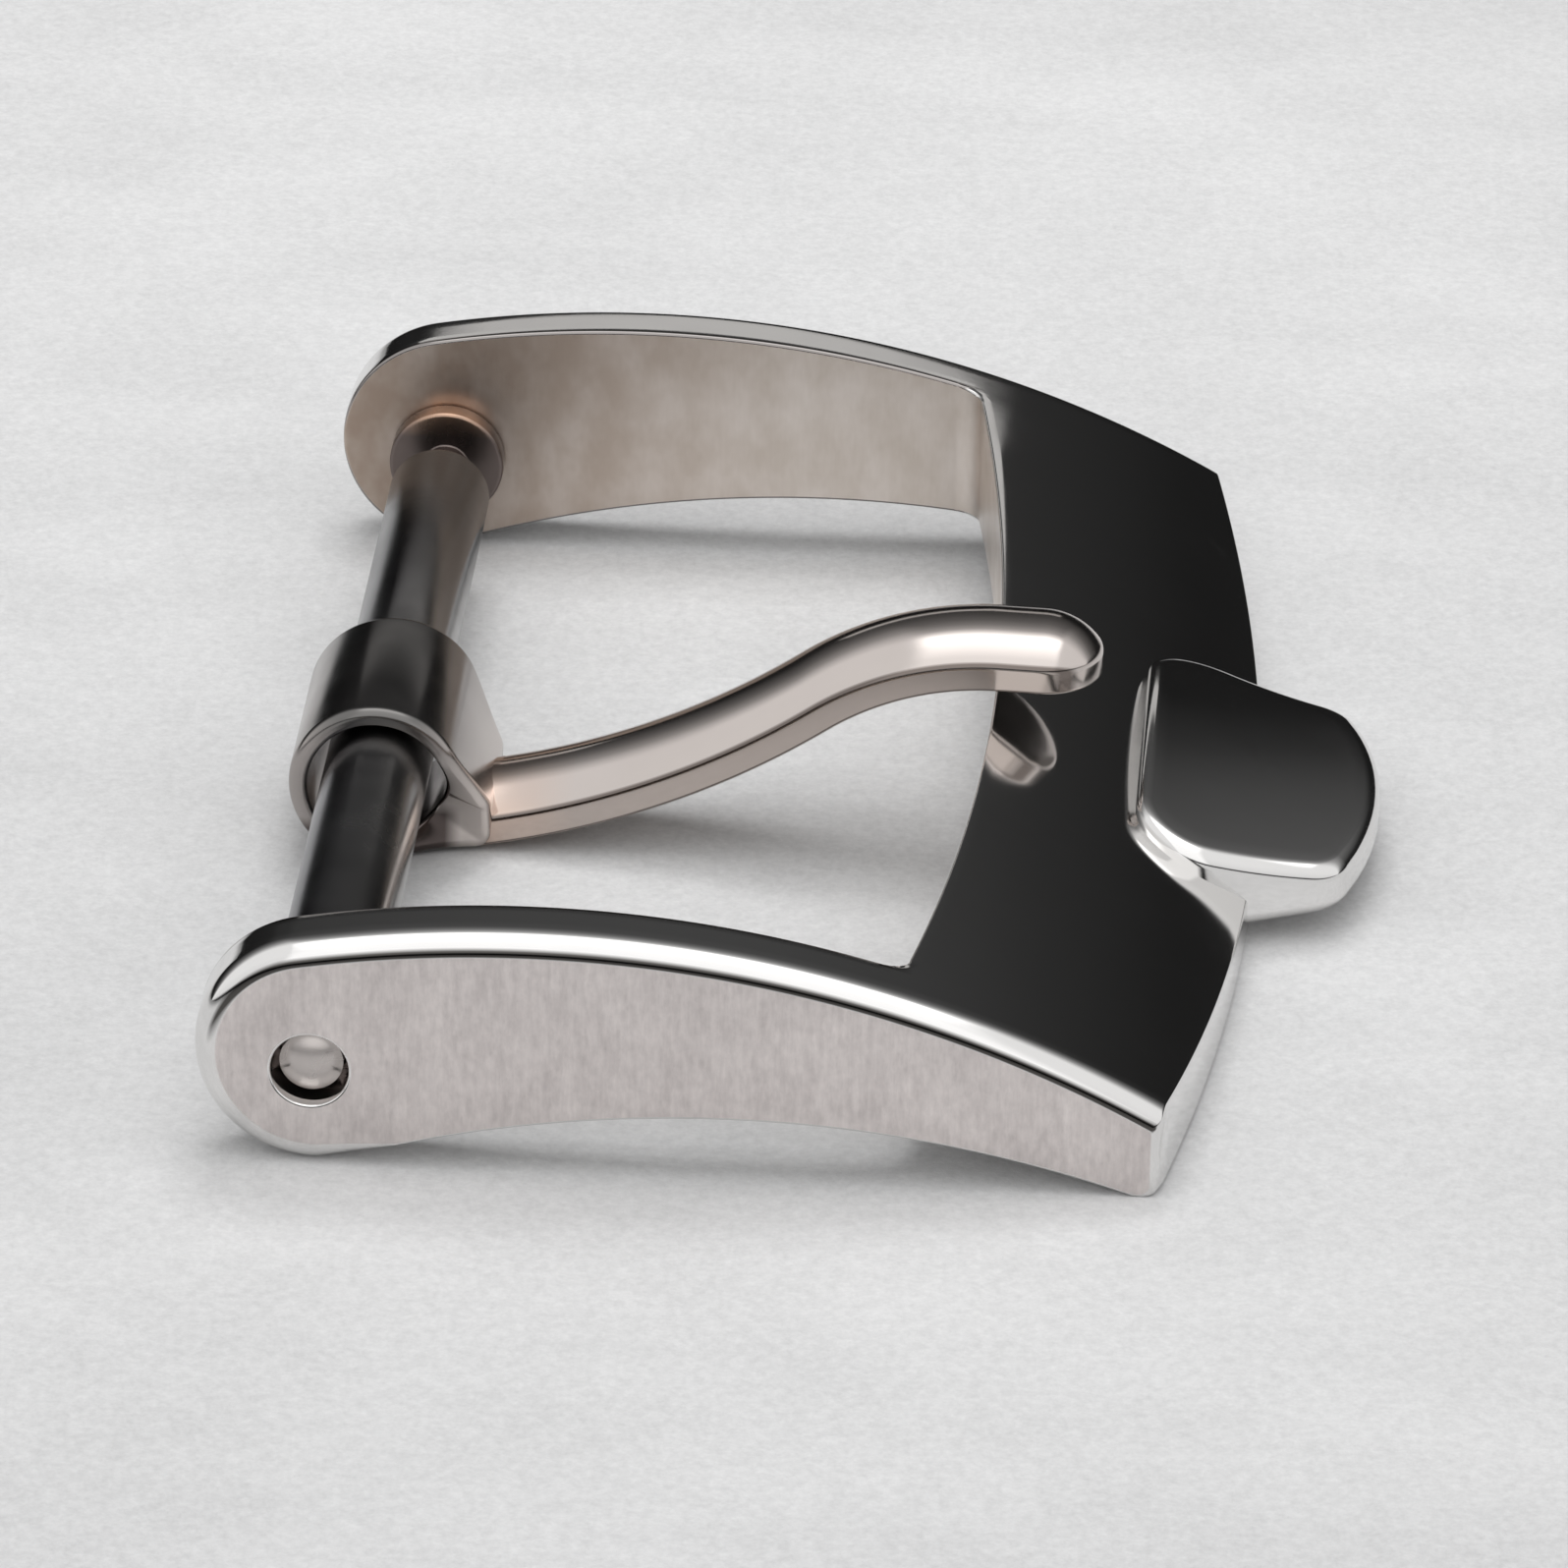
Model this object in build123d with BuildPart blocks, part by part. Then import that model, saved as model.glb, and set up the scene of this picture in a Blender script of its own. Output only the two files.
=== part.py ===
from build123d import *
from math import cos, radians, sin, sqrt
import os

# Pin buckle for a watch strap. +X runs from the strap bar to the crossbar, +Y across the strap,
# +Z up. The origin is the middle of the strap bar's axis. Lengths are in millimetres.

# The buckle as a whole
strap_width = 16.0  # the strap end that fits between the arms
bar_height = 1.25  # axis of the strap bar above the table
overrun = 3.0  # how far every cutting shape runs past what it cuts

# Frame, seen from the side
arm_thickness = 0.85
arch_height = 3.10  # highest point of the arms above the table
arch_peak_x = 2.5
front_height = 0.58  # front edge of the crossbar, in the middle, above the table
end_radius = 1.44  # round end of an arm, round the bar's hole
hollow_height = 0.80  # highest point of the arms' underside above the table
hollow_front_x = 9.65  # where the underside comes back down to the table

# Frame, seen from above
window_x = 7.54  # inner edge of the crossbar, in the middle
window_bow = 0.65  # how far that edge bows forward between the arms
front_x = 10.82  # front edge of the crossbar, in the middle
front_bow = 0.87
window_corner = 0.30

# Edges of the frame
outer_round = 0.30  # polished round along the outside of the arms
inner_round = 0.10
front_round = 0.10

# Strap bar: a sprung tube with a pivot pin in each end
hole_radius = 0.46
pivot_radius = 0.375
pivot_recess = 0.13  # the pin's domed end lies this far inside the arm's face
pivot_dome = 0.12
flange_radius = 0.74
flange_thickness = 0.30
neck_radius = 0.28
neck_show = 0.80  # bare neck between flange and tube: the pin's travel and a little more
head_radius = 0.43
head_length = 0.80
side_play = 0.02  # gap at each face that a pin can touch
tube_radius = 0.645
tube_wall = 0.17
lip_length = 0.25  # rolled-in ends of the tube, which hold the pins
lip_clearance = 0.05
lip_round = 0.10
spring_wire = 0.12
spring_radius = 0.34
spring_pitch = 1.60

# Tongue
eye_radius = 1.08
eye_bore = 0.85
eye_width = 2.65
eye_drop = 0.13  # the loose eye hangs this far below the bar's axis
eye_round = 0.12
root_x = 1.38  # front of the eye's thick root, where the blade leaves it
root_height = 0.90  # top of the root above the table
root_foot = 0.06  # underside of the root above the table
root_length = 0.50
root_corner = 0.22
blade_width = 1.50
blade_thickness = 0.74
blade_start_x = 1.20
blade_start_height = 0.44  # middle of the blade above the table, at its start
blade_dip_radius = 10.26
blade_hump_radius = 3.81
blade_tip_x = 8.86
blade_top_round = 0.36
blade_foot_round = 0.06
blade_start_angle = 10.0
blade_rise_angle = 35.0
blade_tip_angle = -2.0

# Thumb tab on the crossbar's front edge
tab_back_x = 9.35
tab_tip_x = 12.3
tab_back_width = 5.6
tab_tip_width = 4.4
tab_tip_bow = 0.45
tab_back_height = 1.80  # top of the tab above the table, at the back
tab_tip_height = 1.02
tab_dish = 0.14  # how far the top dips between back and tip
tab_foot_height = 0.10
tab_foot_tip_height = 0.40
tab_corner = 0.80
tab_round = 0.20

# A face or edge counts as level or upright by its direction's upward part
upward_share = 0.6

# Worked out from the sizes above
table = -bar_height
half_strap = strap_width / 2
half_width = half_strap + arm_thickness
arch_run = front_x - arch_peak_x
arch_fall = arch_height - front_height
arch_radius = (arch_run**2 + arch_fall**2) / (arch_fall * 2)
arch_center_z = table + arch_height - arch_radius
end_center_z = table + end_radius
end_reach = arch_radius - end_radius
end_center_x = arch_peak_x - sqrt(end_reach**2 - (end_center_z - arch_center_z) ** 2)
arch_front_x = arch_peak_x + sqrt(arch_radius**2 - (table - arch_center_z) ** 2)
window_end_x = window_x - window_bow
front_end_x = front_x - front_bow
pivot_end = half_width - pivot_recess
flange_outer = half_strap - side_play
flange_inner = flange_outer - flange_thickness
tube_half = flange_inner - neck_show
tube_bore = tube_radius - tube_wall
lip_radius = neck_radius + lip_clearance
lip_inner = tube_half - lip_length
head_outer = lip_inner - side_play
head_inner = head_outer - head_length
spring_half = head_inner - side_play - spring_wire / 2

os.makedirs("parts", exist_ok=True)

# Frame: both arms and the crossbar, one piece. The side view is cut to the plan view, the arms
# are rounded all the way round, and only then is the hollow under them cut.
end_scale = arch_radius / end_reach
end_top = (
    arch_peak_x + (end_center_x - arch_peak_x) * end_scale,
    arch_center_z + (end_center_z - arch_center_z) * end_scale,
)
end_back = (end_center_x - end_radius, end_center_z)
end_foot = (end_center_x, table)
hollow_front = (hollow_front_x, table)
hollow_top = ((end_center_x + hollow_front_x) / 2, table + hollow_height)
with BuildPart() as frame:
    with BuildSketch(Plane.XZ):
        with BuildLine():
            ThreePointArc(end_top, (arch_peak_x, table + arch_height), (arch_front_x, table))
            Line((arch_front_x, table), end_foot)
            ThreePointArc(end_foot, end_back, end_top)
        make_face()
    extrude(amount=half_width, both=True)
    with BuildSketch(Plane.XY.offset(table - overrun)):
        with BuildLine():
            Polyline(
                (front_end_x, half_width),
                (end_back[0] - overrun, half_width),
                (end_back[0] - overrun, half_strap),
                (window_end_x, half_strap),
            )
            ThreePointArc((window_end_x, half_strap), (window_x, 0), (window_end_x, -half_strap))
            Polyline(
                (window_end_x, -half_strap),
                (end_back[0] - overrun, -half_strap),
                (end_back[0] - overrun, -half_width),
                (front_end_x, -half_width),
            )
            ThreePointArc((front_end_x, -half_width), (front_x, 0), (front_end_x, half_width))
        make_face()
        fillet(vertices().sort_by(Axis.X)[-4:-2], window_corner)
    extrude(amount=arch_height + overrun * 2, mode=Mode.INTERSECT)
    # The last edge of each outer side face is its upright front one, which stays for later.
    near_rim = faces().sort_by(Axis.Y)[0].edges().sort_by(Axis.X)[:-1]
    far_rim = faces().sort_by(Axis.Y)[-1].edges().sort_by(Axis.X)[:-1]
    fillet(near_rim + far_rim, outer_round)
    fillet(faces().sort_by(Axis.X)[-1].edges(), front_round)
    arch_edges = faces().filter_by(GeomType.CYLINDER).sort_by(Axis.Z)[-1].edges()
    inside_edges = arch_edges.filter_by_position(Axis.Y, -half_strap, half_strap)
    fillet(inside_edges.sort_by(Axis.X)[:-1], inner_round)
    with BuildSketch(Plane.XZ):
        with BuildLine():
            ThreePointArc(end_foot, hollow_top, hollow_front)
            Polyline(
                hollow_front,
                (hollow_front_x, table - overrun),
                (end_center_x, table - overrun),
                end_foot,
            )
        make_face()
    extrude(amount=half_width + overrun, both=True, mode=Mode.SUBTRACT)
    with BuildSketch(Plane.XZ):
        Circle(hole_radius)
    extrude(amount=half_width + overrun, both=True, mode=Mode.SUBTRACT)
frame.part.label = "frame"
export_step(frame.part, "parts/frame.step")

# Tube of the strap bar, turned in at both ends so that it holds the pins' heads
with BuildPart() as bar_tube:
    with BuildSketch(Plane.XY):
        with BuildLine():
            Polyline(
                (lip_radius, tube_half),
                (tube_radius, tube_half),
                (tube_radius, -tube_half),
                (lip_radius, -tube_half),
                (lip_radius, -lip_inner),
                (tube_bore, -lip_inner),
                (tube_bore, lip_inner),
                (lip_radius, lip_inner),
                close=True,
            )
        make_face()
        fillet(vertices().sort_by(Axis.X)[-2:], lip_round)
    revolve(axis=Axis.Y)
bar_tube.part.label = "bar_tube"
export_step(bar_tube.part, "parts/bar_tube.step")

# Pins: a domed pivot for the arm's hole, a flange, a neck and a head that slides in the tube
with BuildPart() as far_pin:
    with BuildSketch(Plane.XY):
        with BuildLine():
            TangentArc((0, pivot_end), (pivot_radius, pivot_end - pivot_dome), tangent=(1, 0))
            Polyline(
                (pivot_radius, pivot_end - pivot_dome),
                (pivot_radius, flange_outer),
                (flange_radius, flange_outer),
                (flange_radius, flange_inner),
                (neck_radius, flange_inner),
                (neck_radius, head_outer),
                (head_radius, head_outer),
                (head_radius, head_inner),
                (0, head_inner),
                (0, pivot_end),
            )
        make_face()
    revolve(axis=Axis.Y)
far_pin.part.label = "far_pin"
export_step(far_pin.part, "parts/far_pin.step")

with BuildPart() as near_pin:
    mirror(far_pin.part, about=Plane.XZ)
near_pin.part.label = "near_pin"
export_step(near_pin.part, "parts/near_pin.step")

# Spring inside the tube, between the two heads
with BuildPart() as bar_spring:
    with BuildLine() as coil:
        Helix(
            pitch=spring_pitch,
            height=spring_half * 2,
            radius=spring_radius,
            center=(0, -spring_half, 0),
            direction=(0, 1, 0),
        )
    with BuildSketch(Plane(origin=coil.line @ 0, z_dir=coil.line % 0)):
        Circle(spring_wire / 2)
    sweep()
bar_spring.part.label = "bar_spring"
export_step(bar_spring.part, "parts/bar_spring.step")

# Tongue: the blade follows a path that dips, humps and runs out almost level over the crossbar
with BuildPart() as blade:
    with BuildSketch(Plane.XZ):
        with BuildLine():
            dip = JernArc(
                start=(blade_start_x, table + blade_start_height),
                tangent=(cos(radians(blade_start_angle)), sin(radians(blade_start_angle))),
                radius=blade_dip_radius,
                arc_size=blade_rise_angle - blade_start_angle,
            )
            hump = JernArc(
                start=dip @ 1,
                tangent=dip % 1,
                radius=blade_hump_radius,
                arc_size=blade_tip_angle - blade_rise_angle,
            )
            run_out = blade_tip_x + overrun - (hump @ 1).X
            PolarLine(start=hump @ 1, length=run_out, angle=blade_tip_angle)
        trace(line_width=blade_thickness)
    extrude(amount=blade_width, both=True)
    with BuildSketch(Plane.XY.offset(table - overrun)):
        with BuildLine():
            tip_x = blade_tip_x - blade_width / 2
            Polyline(
                (tip_x, -blade_width / 2),
                (blade_start_x, -blade_width / 2),
                (blade_start_x, blade_width / 2),
                (tip_x, blade_width / 2),
            )
            ThreePointArc(
                (tip_x, blade_width / 2), (blade_tip_x, 0), (tip_x, -blade_width / 2)
            )
        make_face()
    extrude(amount=arch_height + overrun * 2, mode=Mode.INTERSECT)
    crown_faces = faces().filter_by(lambda f: f.normal_at().Z > upward_share)
    crown_rim = [e for f in crown_faces for e in f.edges() if abs(e.center().Y) > blade_width / 4]
    fillet(crown_rim, blade_top_round)
    foot_faces = faces().filter_by(lambda f: f.normal_at().Z < -upward_share)
    foot_rim = [e for f in foot_faces for e in f.edges() if abs(e.center().Y) > blade_width / 4]
    fillet(foot_rim, blade_foot_round)

with BuildPart() as tongue:
    with BuildSketch(Plane.XZ):
        with Locations((0, -eye_drop)):
            Circle(eye_radius)
        with Locations((root_x - root_length / 2, table + (root_foot + root_height) / 2)):
            RectangleRounded(root_length, root_height - root_foot, root_corner)
        make_hull()
    extrude(amount=eye_width / 2, both=True)
    end_faces = faces().filter_by(Axis.Y)
    fillet([e for f in end_faces for e in f.edges()], eye_round)
    add(blade.part)
    with BuildSketch(Plane.XZ):
        with Locations((0, -eye_drop)):
            Circle(eye_bore)
    extrude(amount=eye_width, both=True, mode=Mode.SUBTRACT)
tongue.part.label = "tongue"
export_step(tongue.part, "parts/tongue.step")

# Thumb tab: sits on the crossbar's front edge, so the frame's own shape is cut out of it
tab_middle = ((tab_back_x + tab_tip_x) / 2, table + (tab_back_height + tab_tip_height) / 2 - tab_dish)
with BuildPart() as thumb_tab:
    with BuildSketch(Plane.XZ):
        with BuildLine():
            ThreePointArc(
                (tab_back_x, table + tab_back_height), tab_middle, (tab_tip_x, table + tab_tip_height)
            )
            Polyline(
                (tab_tip_x, table + tab_tip_height),
                (tab_tip_x, table + tab_foot_tip_height),
                (tab_back_x, table + tab_foot_height),
                (tab_back_x, table + tab_back_height),
            )
        make_face()
    extrude(amount=tab_back_width, both=True)
    with BuildSketch(Plane.XY.offset(table - overrun)):
        with BuildLine():
            tab_side_x = tab_tip_x - tab_tip_bow
            ThreePointArc((tab_side_x, tab_tip_width / 2), (tab_tip_x, 0), (tab_side_x, -tab_tip_width / 2))
            Polyline(
                (tab_side_x, -tab_tip_width / 2),
                (tab_back_x, -tab_back_width / 2),
                (tab_back_x, tab_back_width / 2),
                (tab_side_x, tab_tip_width / 2),
            )
        make_face()
        fillet(vertices(), tab_corner)
    extrude(amount=arch_height + overrun * 2, mode=Mode.INTERSECT)
    flat_faces = faces().filter_by(lambda f: abs(f.normal_at().Z) > upward_share)
    tab_rim = [e for f in flat_faces for e in f.edges()]
    fillet(tab_rim, tab_round)
    add(frame.part, mode=Mode.SUBTRACT)
thumb_tab.part.label = "thumb_tab"
export_step(thumb_tab.part, "parts/thumb_tab.step")
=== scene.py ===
# %% [markdown]
# # A watch strap buckle in Blender
#
# The buckle arrives as a fixed frame: seven solids in metres, each riding on the body that moves
# it. They have the right shapes, but their surfaces are made of flat triangles. Polished steel
# shows each one of them, so this lesson gives every piece a fine surface of its own in the same
# place, and then a finish.

# %% Load the frame
from math import acos, asin, atan2, cos, hypot, pi, radians, sin, sqrt

import bmesh
import bpy
from mathutils import Matrix, Vector


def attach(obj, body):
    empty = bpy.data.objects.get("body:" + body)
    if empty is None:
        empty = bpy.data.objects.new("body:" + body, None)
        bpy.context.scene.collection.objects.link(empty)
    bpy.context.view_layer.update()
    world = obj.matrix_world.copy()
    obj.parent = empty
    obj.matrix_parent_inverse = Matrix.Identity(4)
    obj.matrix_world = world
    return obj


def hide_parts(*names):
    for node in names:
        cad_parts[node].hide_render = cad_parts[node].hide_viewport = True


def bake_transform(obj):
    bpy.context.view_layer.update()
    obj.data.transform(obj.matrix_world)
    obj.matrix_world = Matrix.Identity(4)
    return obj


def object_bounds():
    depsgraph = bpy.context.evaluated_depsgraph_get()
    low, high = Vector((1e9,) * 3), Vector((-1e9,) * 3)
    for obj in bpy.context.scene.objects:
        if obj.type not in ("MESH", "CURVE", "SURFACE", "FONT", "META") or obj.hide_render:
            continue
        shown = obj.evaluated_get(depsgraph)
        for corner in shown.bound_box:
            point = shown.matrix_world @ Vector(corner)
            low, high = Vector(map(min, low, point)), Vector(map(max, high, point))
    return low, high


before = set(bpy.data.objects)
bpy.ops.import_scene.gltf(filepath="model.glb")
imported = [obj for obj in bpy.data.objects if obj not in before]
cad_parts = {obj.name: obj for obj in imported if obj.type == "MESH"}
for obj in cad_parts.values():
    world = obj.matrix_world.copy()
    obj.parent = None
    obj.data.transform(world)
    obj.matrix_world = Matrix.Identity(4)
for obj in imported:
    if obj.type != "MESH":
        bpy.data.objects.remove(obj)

cad_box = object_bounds()
MM = 0.001

# %% [markdown]
# ## Sizes
#
# These are the sizes that the solids were made with, in millimetres. The frame's side view is two
# arcs and a round end, and its plan is two straight arms with a bowed crossbar, so a few numbers
# say everything.

# %% The sizes of the real buckle
TABLE = -1.25
HALF_STRAP, HALF_WIDTH = 8.0, 8.85
ARCH_PEAK_X, ARCH_HEIGHT = 2.5, 3.10
FRONT_X, FRONT_BOW, FRONT_HEIGHT = 10.82, 0.87, 0.58
WINDOW_X, WINDOW_BOW, WINDOW_CORNER = 7.54, 0.65, 0.30
END_RADIUS = 1.44
HOLLOW_HEIGHT, HOLLOW_FRONT_X = 0.80, 9.65
OUTER_ROUND = 0.30
HOLE_RADIUS = 0.46

arch_run, arch_fall = FRONT_X - ARCH_PEAK_X, ARCH_HEIGHT - FRONT_HEIGHT
ARCH_RADIUS = (arch_run**2 + arch_fall**2) / (2 * arch_fall)
ARCH_Z = TABLE + ARCH_HEIGHT - ARCH_RADIUS
END_Z = TABLE + END_RADIUS
END_X = ARCH_PEAK_X - sqrt((ARCH_RADIUS - END_RADIUS) ** 2 - (END_Z - ARCH_Z) ** 2)
print("arch radius", round(ARCH_RADIUS, 3), "round end at x", round(END_X, 3))


def arc_through(half_chord, rise):
    """Radius of an arc from half its chord and its rise."""
    return (half_chord**2 + rise**2) / (2 * rise)


HOLLOW_MID = (END_X + HOLLOW_FRONT_X) / 2
HOLLOW_RADIUS = arc_through((HOLLOW_FRONT_X - END_X) / 2, HOLLOW_HEIGHT)
FRONT_RADIUS = arc_through(HALF_WIDTH, FRONT_BOW)
WINDOW_RADIUS = arc_through(HALF_STRAP, WINDOW_BOW)

# %% [markdown]
# ## Writing shader maths as Python
#
# A finish is mostly arithmetic on positions and noise. Wiring a Math node by hand for each sum
# hides the formula, so a small class wraps a socket and lets Python's own operators add the
# nodes. The same class serves materials and Geometry Nodes, as both use the same Math node.

# %% Sockets that can be added and multiplied
def maths(operation):
    """A method of Value that adds one Math node."""
    return lambda self, *others: self.node(operation, self, *others)


class Value:
    """A socket in a node tree, for use in ordinary formulas."""

    def __init__(self, tree, socket):
        self.tree, self.socket = tree, socket

    def node(self, operation, *terms, clamp=False):
        """A Math node fed with values and numbers."""
        node = self.tree.nodes.new("ShaderNodeMath")
        node.operation, node.use_clamp = operation, clamp
        for term, socket in zip(terms, node.inputs):
            if isinstance(term, Value):
                self.tree.links.new(term.socket, socket)
            else:
                socket.default_value = term
        return Value(self.tree, node.outputs[0])

    __add__ = __radd__ = maths("ADD")
    __mul__ = __rmul__ = maths("MULTIPLY")
    __sub__, __truediv__, __pow__ = maths("SUBTRACT"), maths("DIVIDE"), maths("POWER")
    __abs__, floor, sin, cos = maths("ABSOLUTE"), maths("FLOOR"), maths("SINE"), maths("COSINE")
    most, angle_over = maths("MAXIMUM"), maths("ARCTAN2")

    def __rsub__(self, other):
        return self.node("SUBTRACT", other, self)

    def __neg__(self):
        return self * -1.0

    def ramp(self, low, high):
        """0 below low, 1 above high and straight between them."""
        return self.node("ADD", (self - low) / (high - low), 0.0, clamp=True)


class Tree:
    """A node tree with one method that adds any node."""

    def __init__(self, tree):
        self.tree = tree

    def add(self, kind, settings=None, **sockets):
        """A node of a kind: its settings first, then its sockets by name, _ for a space."""
        node = self.tree.nodes.new(kind)
        for name, value in (settings or {}).items():
            setattr(node, name, value)
        for name, value in sockets.items():
            wanted = name.replace("_", " ")
            socket = next(s for s in node.inputs if s.name == wanted and s.enabled)
            self.plug(value, socket)
        return node

    def plug(self, value, socket):
        """Feed a socket with a value, another socket or a plain number or colour."""
        if isinstance(value, Value):
            self.tree.links.new(value.socket, socket)
        elif isinstance(value, bpy.types.NodeSocket):
            self.tree.links.new(value, socket)
        else:
            socket.default_value = value

    def out(self, node, name=0):
        """An output of a node, ready for a formula."""
        return Value(self.tree, node.outputs[name])


def empty_tree(owner):
    """The node tree of a material or a world, emptied."""
    owner.use_nodes = True
    owner.node_tree.nodes.clear()
    return Tree(owner.node_tree)


print("formula class ready")

# %% [markdown]
# ## Camera
#
# The photograph was taken from near the side of the buckle, 27 degrees above the table, with a
# long lens. The lens and place were worked out from the arms, the holes and the crossbar, whose
# sizes are known.

# %% Put the camera where the photographer's was
def placed(name, data):
    """A new object in the scene."""
    obj = bpy.data.objects.new(name, data)
    bpy.context.collection.objects.link(obj)
    return obj


YAW, PITCH, ROLL = radians(-3.838), radians(26.999), radians(0.410)
FOCAL_PIXELS, FRAME_PIXELS, SENSOR = 11486.7, 1596, 36
CAMERA_AT = (13.260, -124.051, 64.069 + TABLE)
look = Vector((sin(YAW) * cos(PITCH), cos(YAW) * cos(PITCH), -sin(PITCH)))
level_right = Vector((cos(YAW), -sin(YAW), 0))
level_up = level_right.cross(look)
right = cos(ROLL) * level_right + sin(ROLL) * level_up
up = -sin(ROLL) * level_right + cos(ROLL) * level_up
camera = placed("camera", bpy.data.cameras.new("camera"))
stand = Matrix((right, up, -look)).transposed().to_4x4()
stand.translation = Vector(CAMERA_AT) * MM
camera.matrix_world = stand
camera.data.sensor_width = SENSOR
camera.data.lens = FOCAL_PIXELS / FRAME_PIXELS * SENSOR
camera.data.clip_start, camera.data.clip_end = 0.01, 10
bpy.context.scene.camera = camera
print("lens", round(camera.data.lens, 1), "mm")

# %% [markdown]
# ## From points to a surface
#
# The frame is a U seen from above, and two arcs seen from the side. A grid of points that follows
# both needs no sculpting. One helper joins rows of points with four-sided faces, and another fills
# a flat side round its hole. Where two sheets meet, their points are the same, so they can be
# merged and the surface closes.

# %% Helpers for rows of points
MERGE, SAME_POINT, ON_THE_FLAT, TURNED_TO_IT = 0.0004, 1e-5, 1e-4, 0.3


def sheet_of(mesh, rows):
    """Faces between rows of points, each row a list of points in millimetres."""
    made = [[mesh.verts.new(p) for p in row] for row in rows]
    for a, b in zip(made, made[1:]):
        for k in range(len(a) - 1):
            mesh.faces.new((a[k], a[k + 1], b[k + 1], b[k]))


def plate(mesh, outline, hole):
    """A flat side with one hole, filled with triangles between the two loops."""
    edges = []
    for loop in (outline, hole):
        pairs = zip(loop, loop[1:] + loop[:1])
        kept = [p for p, q in pairs if (Vector(p) - Vector(q)).length > SAME_POINT]
        verts = [mesh.verts.new(p) for p in kept]
        edges += [mesh.edges.new(pair) for pair in zip(verts, verts[1:] + verts[:1])]
    bmesh.ops.triangle_fill(mesh, edges=edges, use_beauty=True)


def steps(start, end, count):
    """Evenly spaced numbers from start to end, both included."""
    return [start + (end - start) * k / count for k in range(count + 1)]


def quarter(radius, count=6):
    """A quarter circle as pairs, how far in and how far down, from the edge's side to its top."""
    return [(radius * (1 - cos(a)), radius * (1 - sin(a))) for a in steps(0, pi / 2, count)]


def bowed(half_chord, rise, count):
    """Half a shallow arc as pairs, how far out and how far down, from its middle to its end."""
    radius = arc_through(half_chord, rise)
    turns = steps(0, asin(half_chord / radius), count)
    return [(radius * sin(a), radius * (1 - cos(a))) for a in turns]


def baked(obj):
    """Turn an object's modifiers into plain mesh."""
    bpy.context.view_layer.update()
    graph = bpy.context.evaluated_depsgraph_get()
    graph.update()
    shown = obj.evaluated_get(graph)
    data = bpy.data.meshes.new_from_object(shown, preserve_all_data_layers=True, depsgraph=graph)
    obj.modifiers.clear()
    obj.data = data
    return obj


print("a quarter circle", [(round(i, 2), round(d, 2)) for i, d in quarter(1, 3)])

# %% [markdown]
# Smooth shading would put a false curve on the arms' flat sides, so the points of a flat side are
# given that side's own direction. Then any finished grid can be closed: what meets is merged, the
# faces are turned outwards, and the open edges are counted, which should give none.

# %% Flat sides that stay flat
def shade(data, flats=()):
    """Shade a mesh smoothly, but give the points of each flat side that side's own direction.

    A flat is a pair: its y in millimetres, and 1 or -1 for the way that it faces along y."""
    data.shade_smooth()
    own = [(0.0, 0.0, 0.0)] * len(data.vertices)
    for k, vertex in enumerate(data.vertices):
        for y, way in flats:
            on_it = abs(vertex.co.y / MM - y) < ON_THE_FLAT
            if on_it and vertex.normal.y * way > TURNED_TO_IT:
                own[k] = (0.0, way, 0.0)
    if flats:
        data.normals_split_custom_set_from_vertices(own)


def sealed(mesh, merge, shortest):
    """Merge what meets and turn every face outwards. Gives the number of open edges."""
    bmesh.ops.remove_doubles(mesh, verts=mesh.verts, dist=merge)
    bmesh.ops.dissolve_degenerate(mesh, dist=shortest, edges=mesh.edges)
    bmesh.ops.recalc_face_normals(mesh, faces=mesh.faces)
    return sum(1 for e in mesh.edges if len(e.link_faces) != 2)


def closed_piece(name, mesh, flats=()):
    """Keep a mesh in the solids' box, seal it, shade it and make it an object in metres."""
    for vert in mesh.verts:
        vert.co = [min(max(c, low / MM), high / MM) for c, low, high in zip(vert.co, *cad_box)]
    open_edges = sealed(mesh, MERGE, MERGE)
    volume = mesh.calc_volume(signed=True)
    bmesh.ops.scale(mesh, vec=(MM, MM, MM), verts=mesh.verts)
    data = bpy.data.meshes.new(name)
    mesh.to_mesh(data)
    mesh.free()
    shade(data, flats)
    print(name, "faces", len(data.polygons), "open edges", open_edges, "volume", round(volume, 2))
    return placed(name, data)


print("points closer than", MERGE, "mm are merged")

# %% [markdown]
# ## The frame
#
# On the real buckle the arms and the crossbar are one casting. Its outside edge is polished to a
# constant round, which catches the light as one bright band along the near arm. Here a point on
# the side view is pushed back along its own normal by the depth of that round, so the band stays
# equally wide along the arch and right round the bar's end.

# %% The two curves of the side view
def arch_point(x):
    """A point on the arms' upper side, and the direction away from the metal there."""
    normal = Vector(((x - ARCH_PEAK_X) / ARCH_RADIUS, 0, 0))
    normal.z = sqrt(1 - normal.x**2)
    return Vector((x, 0, ARCH_Z + ARCH_RADIUS * normal.z)), normal


def under_point(x):
    """The same for the underside, which is hollow between the bar and the crossbar."""
    if x >= HOLLOW_FRONT_X:
        return Vector((x, 0, TABLE)), Vector((0, 0, -1))
    mid_z = TABLE + HOLLOW_HEIGHT - HOLLOW_RADIUS
    z = mid_z + sqrt(HOLLOW_RADIUS**2 - (x - HOLLOW_MID) ** 2)
    return Vector((x, 0, z)), Vector((0, 0, -1))


def end_point(angle, side):
    """A point on the round end, counted from its very back, above (1) or below (-1)."""
    normal = Vector((-cos(angle), 0, side * sin(angle)))
    return Vector((END_X, 0, END_Z)) + normal * END_RADIUS, normal


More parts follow.
